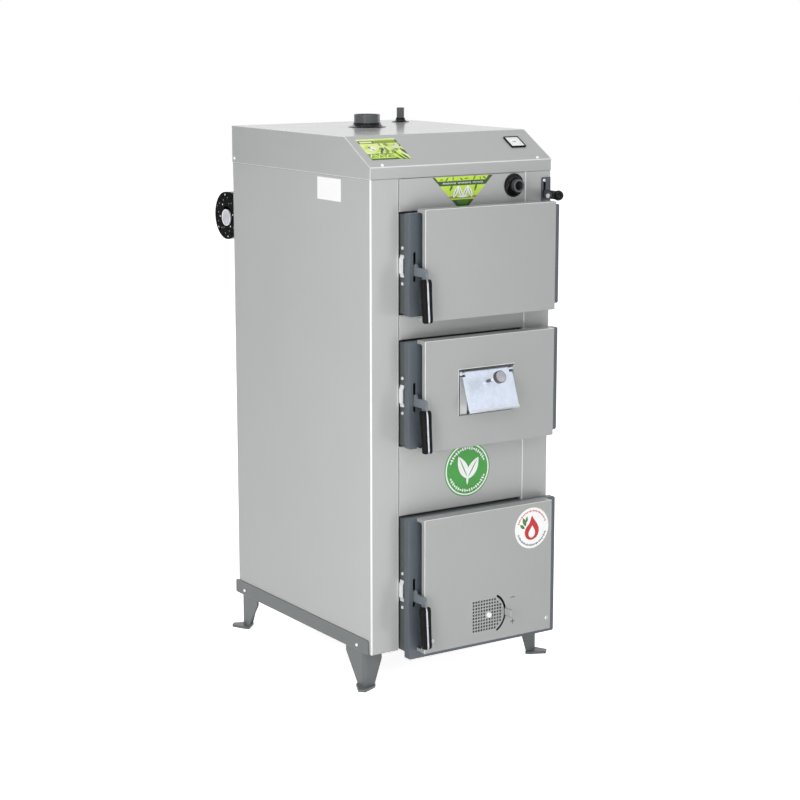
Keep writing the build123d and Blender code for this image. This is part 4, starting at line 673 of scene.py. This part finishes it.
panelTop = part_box("side_panel_left")[1].z
slopeTop = onSlope(0, slopeLook["length"])
slopeOut = Vector((0, -slopeUp.z, slopeUp.y))
left, front, up = Vector((-1, 0, 0)), Vector((0, -1, 0)), Vector((0, 0, 1))
half = hoodHigh.x
foldLine = half - slopeLook["returnWidth"] * mm
panelFoldHighlights, hoodFoldHighlights = [], []
for side in (-1, 1):
    out = Vector((side, 0, 0))
    panelFoldHighlights.append(((side * half, frontPanel, baseZ), (side * half, frontPanel, panelTop),
                       out, front, foldLook["panel"]))
    panelFoldHighlights.append(((side * foldLine, frontPanel, baseZ),
                       (side * foldLine, frontPanel, panelTop), -out, front, foldLook["panel"]))
    for start, end, other in (
            ((side * half, hoodLow.y, hoodLow.z), (side * half, hoodLow.y, slopeFoot.z), front),
            ((side * half, slopeFoot.y, slopeFoot.z), (side * half, slopeTop.y, slopeTop.z),
             slopeOut),
            ((side * half, slopeTop.y, hoodHigh.z), (side * half, hoodHigh.y, hoodHigh.z), up),
            ((side * half, hoodLow.y, hoodLow.z), (side * half, hoodHigh.y, hoodLow.z), -up)):
        hoodFoldHighlights.append((start, end, out, other, 0))
hoodFoldHighlights.append(((-half, hoodLow.y, slopeFoot.z), (half, hoodLow.y, slopeFoot.z), front, slopeOut,
                  foldLook["hood"]))
foldHighlightPiece("panelFoldHighlights", panelFoldHighlights, "boiler")
foldHighlightPiece("hoodFoldHighlights", hoodFoldHighlights, "boiler")
for door in doors:
    low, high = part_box("door_cover_" + door)
    foldHighlightPiece("coverFoldHighlights_" + door, [
        ((low.x, low.y, low.z), (low.x, low.y, high.z), left, front, foldLook["cover"]),
        ((low.x, low.y, high.z), (high.x, low.y, high.z), up, front, foldLook["cover"])],
        "door_" + door)


# air inlet marks and cover screws

markLook = {"x": 112, "minusZ": 112, "plusZ": 46, "arm": 7.0, "line": 2.1,
            "skin": (0.02, 0.12, 0.13)}


def markPiece(name, z, plus):
    bm = bmesh.new()
    arm, line, corner = markLook["arm"] * mm, markLook["line"] * mm, markLook["line"] * mm * 0.45
    low, high, cross = (level * mm for level in markLook["skin"])
    slabInto(bm, roundedPoints(2 * arm, line, corner, 2), low, high)
    if plus:
        slabInto(bm, roundedPoints(line, 2 * arm, corner, 2), low, cross)
    makePiece(name, bm, inkOf("ink"), "door_bottom", onFront(markLook["x"], z, cover), 0)


markPiece("minusMark", markLook["minusZ"], False)
markPiece("plusMark", markLook["plusZ"], True)

screwLook = {"radius": 4.6, "height": 2.2, "slotWidth": 1.1, "slotLength": 5.2}


def crossHead(name, matrix, body, look=screwLook):
    # a domed head with a sunk cross
    bm = bmesh.new()
    height = look["height"] * mm
    turnedInto(bm, look["radius"] * mm, height, [(1.0, 0.0), (1.0, 0.35), (0.93, 0.66),
                                                 (0.76, 0.88), (0.5, 0.98), (0.26, 1.0)], 24)
    makePiece(name, bm, [brightZinc], body, matrix, 40)
    bm = bmesh.new()
    long, wide = look["slotLength"] * mm / 2, look["slotWidth"] * mm / 2
    top = height * 1.004
    for a, b in ((long, wide), (wide, long)):
        slabInto(bm, [(-a, -b), (a, -b), (a, b), (-a, b)], height * 0.6, top)
        top += 0.01 * mm
    makePiece(name + "Slot", bm, inkOf("ink"), body, matrix, 0)


coverScrews = {"coverScrewLeft": (-144, 36), "coverScrewRight": (224, 37)}
for name, (x, z) in coverScrews.items():
    crossHead(name, onPlane((x * mm, cover, baseZ + z * mm), (1, 0, 0.3), (-0.3, 0, 1)),
              "door_bottom")


# air inlet: bright stud head and the painted tab over the damper disc, which is near black as
# painted shade for the air holes

inletLook = {"x": 34, "z": 77, "studRadius": 8.0, "studRise": 7.6, "studLift": 0.1,
             "tabX": 88, "tabWide": 20.6, "tabThick": 4.6, "tabReach": 26.4, "tabCorner": 1.6,
             "tabLift": 0.15}


def turnedHead(name, matrix, body, radius, height, mat, profile, count=32, smoothAngle=40):
    bm = bmesh.new()
    turnedInto(bm, radius, height, profile, count)
    return makePiece(name, bm, [mat], body, matrix, smoothAngle)


domeShares = [(1.0, 0.0), (1.0, 0.30), (0.94, 0.58), (0.80, 0.82), (0.56, 0.96), (0.24, 1.0)]
turnedHead("inletStud",
           onFront(inletLook["x"], inletLook["z"], cover - inletLook["studLift"] * mm),
           "inlet_damper", inletLook["studRadius"] * mm, inletLook["studRise"] * mm, brightZinc,
           domeShares)


def inletTab(look):
    # the flat tab that stands out of the curved slot, its end slightly rounded
    bm = bmesh.new()
    rings = []
    for share, grow in ((0.0, 1.0), (0.9, 1.0), (0.975, 0.93), (1.0, 0.8)):
        section = (look[key] * grow * mm for key in ("tabThick", "tabWide", "tabCorner"))
        rings.append([(x, y, share * look["tabReach"] * mm) for x, y in
                      roundedPoints(*section)])
    loft(bm, rings)
    makePiece("inletTab", bm, [finish["casing_grey"]], "inlet_damper",
              onFront(look["tabX"], look["z"], cover - look["tabLift"] * mm), 35)


holeLook = {"x": 34, "z": 77, "left": -14, "pitch": 8.6, "rows": 10, "columns": 11, "radius": 2.2,
            "rim": 0.8, "clear": 9, "edge": 47.5, "skin": (0.02, 0.14), "count": 16}


def holeShadeRings(look):
    # painted shade: a dark ring on the edge of every air hole, darkening the holes
    bm = bmesh.new()
    count = look["count"]
    for i in range(look["columns"]):
        for j in range(look["rows"]):
            x = look["left"] + i * look["pitch"]
            z = look["z"] + (j - (look["rows"] - 1) / 2) * look["pitch"]
            reach = math.hypot(x - look["x"], z - look["z"])
            if not (look["clear"] < reach < look["edge"] or x < look["x"] - look["clear"]):
                continue
            rings = []
            for rise in look["skin"]:
                for radius in (look["radius"] - 0.05, look["radius"] + look["rim"]):
                    rings.append([bm.verts.new((px, pz, rise * mm)) for px, pz in
                                  circlePoints(x * mm, z * mm, radius * mm, count)])
            innerLow, outerLow, innerHigh, outerHigh = rings
            for k in range(count):
                n = (k + 1) % count
                for a, b in ((innerHigh, outerHigh), (outerHigh, outerLow), (outerLow, innerLow),
                             (innerLow, innerHigh)):
                    bm.faces.new((a[k], b[k], b[n], a[n]))
    makePiece("airHoleShade", bm, inkOf("ink"), "door_bottom", onFront(0, 0, cover), 0)


inletTab(inletLook)
holeShadeRings(holeLook)
print("marks, screws and inlet placed")


# latch grips: two moulded scales on the tang

gripShape = {"lean": 5.5, "tang": 6.4, "scale": 10, "depth": 16, "length": 109, "raise": 3,
             "line": 2.3, "corner": 4.2}


def quarter(cx, cz, radius, start):
    # the inner points of a quarter circle
    angles = [math.radians(start + 90 * i / 6) for i in range(1, 6)]
    return [(cx + radius * math.cos(a), cz + radius * math.sin(a)) for a in angles]


def gripPiece(door):
    low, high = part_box("latch_grip_" + door)
    lean = math.radians(gripShape["lean"])
    down = Vector((0, -math.sin(lean), -math.cos(lean)))
    forward = Vector((0, -math.cos(lean), math.sin(lean)))
    sideways = Vector((1, 0, 0))
    length = gripShape["length"] * mm
    depth = gripShape["depth"] * mm
    top = Vector(((low.x + high.x) / 2, high.y - depth / 2 * math.cos(lean), 0))
    top.z = high.z - depth / 2 * math.sin(lean) + gripShape["raise"] * mm
    bm = bmesh.new()
    # share of the length, width of a scale and depth, as shares of the full size
    stations = [(0.0, 0.66, 0.86), (0.012, 0.88, 1.02), (0.035, 1.02, 1.14), (0.10, 1.10, 1.18),
                (0.35, 1.02, 1.10), (0.65, 0.97, 1.03), (0.90, 0.96, 1.0),
                (0.965, 0.94, 0.97), (0.988, 0.84, 0.88), (1.0, 0.64, 0.72)]
    for side in (-1, 1):
        rings = []
        for share, wide, deep in stations:
            inner = gripShape["tang"] / 2 * mm
            outer = inner + gripShape["scale"] * wide * mm
            halfDeep = depth / 2 * deep
            corner = min(gripShape["corner"] * mm, halfDeep * 0.9, (outer - inner) * 0.6)
            flat, far = halfDeep - corner, outer - corner
            ring = [(inner, -halfDeep), (far, -halfDeep), *quarter(far, -flat, corner, -90),
                    (outer, -flat), (outer, flat), *quarter(far, flat, corner, 0),
                    (far, halfDeep), (inner, halfDeep)]
            rings.append([tuple(top + sideways * side * u + forward * v + down * share * length)
                          for u, v in ring])
        loft(bm, rings)
    piece = makePiece("gripMoulding_" + door, bm, [finish["grip_plastic"]], "latch_" + door,
                      None, 40)
    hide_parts("latch_grip_" + door)
    # the bright front edge of the tang between the scales
    bm = bmesh.new()
    rings = []
    for share, deep in ((0.02, 0.86), (0.10, 1.19), (0.35, 1.11), (0.65, 1.04), (0.93, 1.0),
                        (0.985, 0.86)):
        half = gripShape["line"] * mm * (0.7 if share in (0.02, 0.985) else 1.0)
        front = depth / 2 * deep
        rings.append([tuple(top + sideways * u + forward * v + down * share * length)
                      for u, v in ((-half, front - 1.5 * mm), (half, front - 1.5 * mm),
                                   (half, front - 0.2 * mm), (half * 0.5, front + 0.3 * mm),
                                   (-half * 0.5, front + 0.3 * mm), (-half, front - 0.2 * mm))])
    loft(bm, rings)
    makePiece("gripTang_" + door, bm, [capGrey], "latch_" + door, None, 30)


for door in doors:
    gripPiece(door)
print("grips made")


# thermometer face

dialLook = {"x": 211, "along": 80, "face": 41, "rise": 3.0, "marks": 13, "rim": 46,
            "rimHeight": 1.6, "needle": 190}


def dialFace():
    # a white face with a scale, a needle and a rim, turned with the slope
    matrix = onPlane(onSlope(dialLook["x"], dialLook["along"]), (1, 0, 0), slopeUp)
    matrix = matrix @ Matrix.Translation((0, 0, dialLook["rise"] * mm))
    face = dialLook["face"] * mm
    layers = []
    for i in range(dialLook["marks"]):
        a = math.radians(215 - i * 250 / (dialLook["marks"] - 1))
        far = 0.43 * face
        near = (0.33 if i % 3 == 0 else 0.37) * face
        half = 0.006 * face
        layers.append((2 if i > 9 else 1, turnPoints(
            [(near, -half), (far, -half), (far, half), (near, half)], a)))
    layers.append((1, turnPoints(
        [(-0.08 * face, -0.03 * face), (0.36 * face, 0), (-0.08 * face, 0.03 * face)],
        math.radians(dialLook["needle"]))))
    layers.append((1, circlePoints(0, 0, 0.05 * face, 20)))
    label("dialFace", roundedPoints(face, face, 1.5 * mm), layers,
          inkOf("white", "ink", "red"), matrix, "boiler")
    # the raised rim round the face
    bm = bmesh.new()
    outer, inner = dialLook["rim"] * mm / 2, face / 2
    corners = [(-1, -1), (1, -1), (1, 1), (-1, 1)]
    for a, b in zip(corners, corners[1:] + corners[:1]):
        slabInto(bm, [(x * reach, y * reach) for (x, y), reach in
                      ((a, outer), (b, outer), (b, inner), (a, inner))],
                 0, dialLook["rimHeight"] * mm)
    makePiece("dialRim", bm, [finish["black_plastic"]], "boiler", matrix, 0)


dialFace()


# bolt on the damper lever and screw on its bracket

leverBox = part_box("damper_lever")
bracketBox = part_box("damper_bracket")
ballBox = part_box("damper_ball")
ballZ = (ballBox[0].z + ballBox[1].z) / 2
ballX = (ballBox[0].x + ballBox[1].x) / 2
leverTrim = {"ball": 13.4, "plateFrom": 13, "plateTo": 46, "plateHigh": 11, "plateLow": 11,
             "plateThick": 1.2, "boltOut": 33, "boltDrop": 2.5, "boltRadius": 6.5,
             "boltHeight": 4.5}


def damperBall():
    # a moulded ball with a flat where the lever enters
    ball = turnedHead("damperBallMoulding",
                      onPlane((ballX, (ballBox[0].y + ballBox[1].y) / 2, ballZ), (1, 0, 0),
                              (0, 0, 1)), "damper_lever", leverTrim["ball"] * mm,
                      leverTrim["ball"] * mm, finish["black_plastic"],
                      [(math.cos(a), math.sin(a)) for a in
                       [math.radians(-66 + 150 * i / 22) for i in range(23)]], 40)
    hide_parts("damper_ball")


def leverPlate():
    # the broad part of the lever, lying along its side near the bracket
    look = leverTrim
    near, far = look["plateFrom"] * mm, look["plateTo"] * mm
    high, low = look["plateHigh"] * mm, look["plateLow"] * mm
    outline = [(near, -low), (far - 8 * mm, -low * 0.75), (far, -4 * mm), (far, 4 * mm),
               (far - 10 * mm, high * 0.7), (near, high)]
    bm = bmesh.new()
    slabInto(bm, outline, 0.0, look["plateThick"] * mm)
    makePiece("leverPlate", bm, [finish["raw_steel"]], "damper_lever",
              onLeft(leverBox[0].x, frontPanel, ballZ), 30)


damperBall()
leverPlate()
boltPlace = onLeft(leverBox[0].x - leverTrim["plateThick"] * mm,
                   frontPanel - leverTrim["boltOut"] * mm, ballZ - leverTrim["boltDrop"] * mm)
turnedHead("leverBolt", boltPlace, "damper_lever", leverTrim["boltRadius"] * mm,
           leverTrim["boltHeight"] * mm, brightZinc, ((1.0, 0.0), (1.0, 0.8), (0.9, 1.0)), 6, 25)
crossHead("bracketScrew", onPlane((ballX - 1.5 * mm, bracketBox[0].y, bracketBox[1].z - 8 * mm),
                                  (1, 0, 0.5), (-0.5, 0, 1)), "boiler",
          {"radius": 4.0, "height": 2.0, "slotWidth": 0.9, "slotLength": 4.4})


# blower: rivets round its cover, a painted highlight ring on the cap

rivetLook = {"rings": (36.5, 50.5, 58.0, 45.5), "count": 24, "radius": 2.3, "rise": 1.0}
capTrim = {"forward": 5, "drop": 5, "radius": 22.6, "ring": 21.4, "wire": 1.7, "count": 64}


def blowerTrim():
    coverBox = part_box("blower_cover")
    faceX = coverBox[0].x
    middle = (coverBox[0] + coverBox[1]) / 2
    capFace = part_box("blower_cap")[0].x
    for name, mat, wanted in (("blowerRivetsBright", brightZinc, (0, 4)),
                              ("blowerRivetsDull", latchGrey, (1, 2, 3, 5))):
        bm = bmesh.new()
        for i in range(rivetLook["count"]):
            if (i * 5) % 6 not in wanted:
                continue
            a = 2 * math.pi * i / rivetLook["count"] + 0.12
            reach = rivetLook["rings"][i % 4] * mm
            turnedInto(bm, rivetLook["radius"] * mm, rivetLook["rise"] * mm,
                       ((1.0, 0.0), (0.9, 0.5), (0.5, 1.0)), 12, reach * math.cos(a),
                       reach * math.sin(a))
        makePiece(name, bm, [mat], "boiler", onLeft(faceX, middle.y, middle.z), 40)
    # the cap: a turned disc with a rolled ring on its edge, coloured white as a painted highlight
    look = capTrim
    capPlace = onLeft(faceX, middle.y - look["forward"] * mm, middle.z - look["drop"] * mm)
    cap = turnedHead("blowerCapFace", capPlace, "boiler", look["radius"] * mm,
                     faceX - capFace, capGrey,
                     [(0.96, -0.2), (0.98, 0.3), (1.0, 0.6), (0.98, 0.9), (0.90, 1.0),
                      (0.86, 0.9), (0.4, 0.86)], look["count"])
    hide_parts("blower_cap")
    bm = bmesh.new()
    count, ringRadius, wire = look["count"], look["ring"] * mm, look["wire"] * mm
    rows = []
    for i in range(count):
        a = 2 * math.pi * i / count
        row = []
        for j in range(10):
            b = 2 * math.pi * j / 10
            reach = ringRadius + wire * math.cos(b)
            row.append(bm.verts.new((reach * math.cos(a), reach * math.sin(a),
                                     0.45 * wire * math.sin(b))))
        rows.append(row)
    for row, after in zip(rows, rows[1:] + rows[:1]):
        for j in range(10):
            n = (j + 1) % 10
            bm.faces.new((row[j], after[j], after[n], row[n]))
    makePiece("blowerCapHighlight", bm, inkOf("white"), "boiler",
              capPlace @ Matrix.Translation((0, 0, faceX - capFace)), 60)


blowerTrim()


# air flap: pin head at its corner, bright stem and the face of the knob

flapTrimLook = {"lean": 20, "pinX": -58, "screwX": 13, "drop": 28, "knobRadius": 14.4,
                "knobTop": 72, "stemRadius": 4.4, "stemFrom": 32, "stemTo": 60, "middleX": 22,
                "rodBehind": 4, "pinOut": 3, "pinRadius": 5.6, "pinHeight": 3.0,
                "knobHeight": 0.8, "knobLines": (0.7, 1.15, 1.1), "lineHalf": 0.35,
                "lipWidth": 157, "lipCut": 11,
                "lipRows": ((95.0, 4.8, 0.0), (98.5, 6.4, 0.0), (101.5, 9.6, 0.0),
                            (103.6, 14.0, 0.4), (105.2, 19.4, 1.0))}
frameLook = {"left": -62, "right": 106, "above": 9, "height": 116, "dark": 3.0, "light": 1.6,
             "liningX": (-61.0, -34.0), "liningBack": 9.0, "liningTop": 9.0,
             "skin": (0.03, 0.15), "liningThick": 0.8}


def flapFrame(rodZ):
    # painted shade as a dark line round the recess, a painted highlight as a bright rim outside
    # it, and a plate at its left in a light colour as painted light in the shaded recess
    look = frameLook
    middleX = (look["left"] + look["right"]) / 2 * mm
    topZ = rodZ + look["above"] * mm
    place = onPlane((middleX, cover, topZ), (1, 0, 0), up)
    halfW = (look["right"] - look["left"]) / 2 * mm
    dark, light, tall = look["dark"] * mm, look["light"] * mm, look["height"] * mm
    # painted shade for the dark line, painted highlight for the bright rim
    for name, mat, a, b in (("flapEdgeShade", vinyl["ink"], 0.0, dark),
                            ("flapRimHighlight", paintedLight, dark, dark + light)):
        bm = bmesh.new()
        low, high = (level * mm for level in look["skin"])
        slabInto(bm, [(-halfW - b, -tall), (-halfW - a, -tall), (-halfW - a, b),
                      (-halfW - b, b)], low, high)
        slabInto(bm, [(-halfW - a, a), (halfW + b, a), (halfW + b, b), (-halfW - a, b)],
                 low, high)
        makePiece(name, bm, [mat], "door_middle", place, 0)
    # painted light: the lining's light colour stands in for light falling into the shaded recess
    near, far = look["liningX"]
    bm = bmesh.new()
    foot, top = mm - tall, -(look["above"] + look["liningTop"]) * mm
    slabInto(bm, [(near * mm, foot), (far * mm, foot), (far * mm, top), (near * mm, top)],
             0.0, look["liningThick"] * mm)
    makePiece("flapLiningLight", bm, [paintedLight], "door_middle",
              onPlane((0, cover + look["liningBack"] * mm, topZ), (1, 0, 0), up), 0)


def flapTrim():
    look = flapTrimLook
    lean = math.radians(look["lean"])
    out = Vector((0, -math.cos(lean), math.sin(lean)))
    down = Vector((0, -math.sin(lean), -math.cos(lean)))
    # the rod lies across the recess, below its upper edge
    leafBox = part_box("door_leaf_middle")
    rod = Vector((0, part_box("door_cover_middle")[0].y + look["rodBehind"] * mm,
                  (leafBox[0].z + leafBox[1].z) / 2
                  + (frameLook["height"] / 2 - frameLook["above"]) * mm))
    place = rod + Vector((look["screwX"] * mm, 0, 0)) + down * look["drop"] * mm
    matrix = onPlane(place + out * look["knobTop"] * mm, (1, 0, 0), -down)
    turnedHead("knobFace", matrix, "flap_screw", look["knobRadius"] * mm, look["knobHeight"] * mm,
               mouldedPart("knobFace", knurlLook),
               [(1.0, 0.0), (1.0, 0.5), (0.96, 1.0), (0.3, 1.0)], 40)
    length = (look["stemTo"] - look["stemFrom"]) * mm
    turnedHead("knobStem", onPlane(place + out * look["stemFrom"] * mm, (1, 0, 0), -down),
               "flap_screw", look["stemRadius"] * mm, length, brightZinc,
               [(0.9, 0.0), (1.0, 0.01), (1.0, 0.99), (0.9, 1.0)], 24)
    pinPlace = rod + Vector((look["pinX"] * mm, 0, 0)) + out * look["pinOut"] * mm
    turnedHead("flapPinHead", onPlane(pinPlace, (1, 0, 0), -down), "air_flap",
               look["pinRadius"] * mm, look["pinHeight"] * mm, capGrey, domeShares)
    # the raised cross lines on the face of the knob
    bm = bmesh.new()
    half, thin = look["knobRadius"] * mm, look["lineHalf"] * mm
    foot, upright, across = (level * mm for level in look["knobLines"])
    for i in range(-4, 5):
        at = half * i / 5
        long = math.sqrt(half * half - at * at) * 0.93
        line = [(at - thin, -long), (at + thin, -long), (at + thin, long), (at - thin, long)]
        slabInto(bm, line, foot, upright)
        slabInto(bm, [(y, x) for x, y in reversed(line)], foot, across)
    makePiece("knobLines", bm, [capGrey], "flap_screw", matrix, 0)
    # the folded lip along the bottom, from the plate out to its chamfered front edge, in the
    # brighter zinc as a painted highlight
    wide, cut = look["lipWidth"] / 2 * mm, look["lipCut"] * mm
    middle = rod + Vector((look["middleX"] * mm, 0, 0))
    bm = bmesh.new()
    rings = []
    # drop, distance out and share of the chamfer at each row
    for dropAt, outAt, share in look["lipRows"]:
        base = middle + down * dropAt * mm + out * outAt * mm
        back = middle + down * (dropAt + 0.6) * mm + out * (outAt - 0.8) * mm
        side = Vector((wide - cut * share, 0, 0))
        rings.append([tuple(base - side), tuple(base + side), tuple(back + side),
                      tuple(back - side)])
    loft(bm, rings)
    makePiece("flapLip", bm, [brightZinc], "air_flap", None, 30)
    flapFrame(rod.z)


flapTrim()
print("small fittings placed")


# floor, light and camera

studio = {"lensPixels": 2018.0, "azimuth": -33.444, "pitch": 11.008, "photoPixels": 800.0,
          "position": (-2957.1, -4186.4, 1636.4), "worldFill": 0.40, "floorHalf": 14.0,
          "floorGlow": 0.85}
white = (1, 1, 1, 1)


def anyRay(tree, kinds):
    # 1 where the ray is of one of these kinds
    path = tree.nodes.new("ShaderNodeLightPath")
    value = path.outputs[kinds[0]]
    for kind in kinds[1:]:
        either = addNode(tree, "ShaderNodeMath", {}, [(0, value), (1, path.outputs[kind])])
        either.operation = "MAXIMUM"
        value = either.outputs["Value"]
    return value


def studioFloor():
    bm = bmesh.new()
    size = studio["floorHalf"]
    slabInto(bm, [(-size, -size), (size, -size), (size, size), (-size, size)], -0.02, 0.0)
    mat, tree, shader = blankMaterial("floorPaper")
    shader.inputs["Base Color"].default_value = (0.93, 0.93, 0.93, 1)
    shader.inputs["Roughness"].default_value = 0.95
    shader.inputs["Specular IOR Level"].default_value = 0.1
    obj = addObject("studioFloor", meshOf("studioFloor", bm, [mat]))
    # to the camera and in reflections the paper is white, with the object's soft shadow
    seen = anyRay(tree, ("Is Camera Ray", "Is Glossy Ray"))
    glow = addNode(tree, "ShaderNodeEmission",
                   {"Color": white, "Strength": studio["floorGlow"]})
    paper = shader.outputs["BSDF"]
    add = addNode(tree, "ShaderNodeAddShader", {}, [(0, paper), (1, glow.outputs["Emission"])])
    mix = addNode(tree, "ShaderNodeMixShader", {},
                  [("Fac", seen), (1, paper), (2, add.outputs["Shader"])])
    tree.links.new(mix.outputs["Shader"], tree.nodes["Material Output"].inputs["Surface"])


def studioWorld():
    world = bpy.data.worlds.new("studioWorld")
    bpy.context.scene.world = world
    world.use_nodes = True
    tree = world.node_tree
    tree.nodes.clear()
    fill, seen = (addNode(tree, "ShaderNodeBackground", {"Color": white, "Strength": strength})
                  for strength in (studio["worldFill"], 1.0))
    share = anyRay(tree, ("Is Camera Ray", "Is Glossy Ray", "Is Transmission Ray"))
    mix = addNode(tree, "ShaderNodeMixShader", {},
                  [("Fac", share), (1, fill.outputs["Background"]),
                   (2, seen.outputs["Background"])])
    addNode(tree, "ShaderNodeOutputWorld", {}, [("Surface", mix.outputs["Shader"])])


# place, target, width, height and power of each lamp
lamps = {
    "topBox": ((-0.6, -0.4, 3.6), (0, 0, 0.7), 2.6, 2.6, 33),
    "frontBox": ((-1.2, -3.6, 2.0), (0, 0, 0.8), 1.6, 2.2, 15),
    "cornerBox": ((-1.94, -1.47, 0.98), (-0.28, -0.35, 0.98), 0.7, 1.9, 20),
    "rightBox": ((1.5, -3.2, 1.4), (0, 0, 0.8), 1.2, 2.2, 5),
    "backBox": ((0.2, 3.6, 2.9), (0, 0, 0.8), 1.6, 2.2, 22),
    "farBox": ((3.3, 0.8, 1.7), (0, 0, 0.8), 1.6, 2.2, 18),
    "lowBox": ((-0.6, -3.0, 0.45), (0, 0, 0.6), 1.2, 0.7, 12),
    "sparkleHigh": ((-1.2, -2.6, 2.6), (0, -0.4, 1.0), 0.22, 0.22, 3),
    "sparkleSide": ((-2.4, -1.6, 2.2), (0, -0.2, 1.0), 0.18, 0.18, 2),
}


def softBox(name, place, target, width, height, power):
    data = bpy.data.lights.new(name, "AREA")
    data.shape = "RECTANGLE"
    data.size, data.size_y = width, height
    data.energy = power
    obj = addObject(name, data)
    obj.location = place
    direction = Vector(target) - Vector(place)
    obj.rotation_euler = direction.to_track_quat("-Z", "Y").to_euler()
    obj.visible_camera = False


studioFloor()
studioWorld()
for name, lamp in lamps.items():
    softBox(name, *lamp)

cameraData = bpy.data.cameras.new("studioCamera")
cameraData.sensor_width = 36.0
cameraData.lens = studio["lensPixels"] * cameraData.sensor_width / studio["photoPixels"]
cameraData.clip_end = 60.0
camera = addObject("studioCamera", cameraData)
px, py, pz = studio["position"]
camera.location = (px * mm, py * mm + frontPanel, pz * mm + baseZ)
camera.rotation_euler = (math.radians(90 - studio["pitch"]), 0,
                         math.radians(studio["azimuth"]))
bpy.context.scene.camera = camera
bpy.context.scene.view_settings.view_transform = "Standard"
print("studio ready")
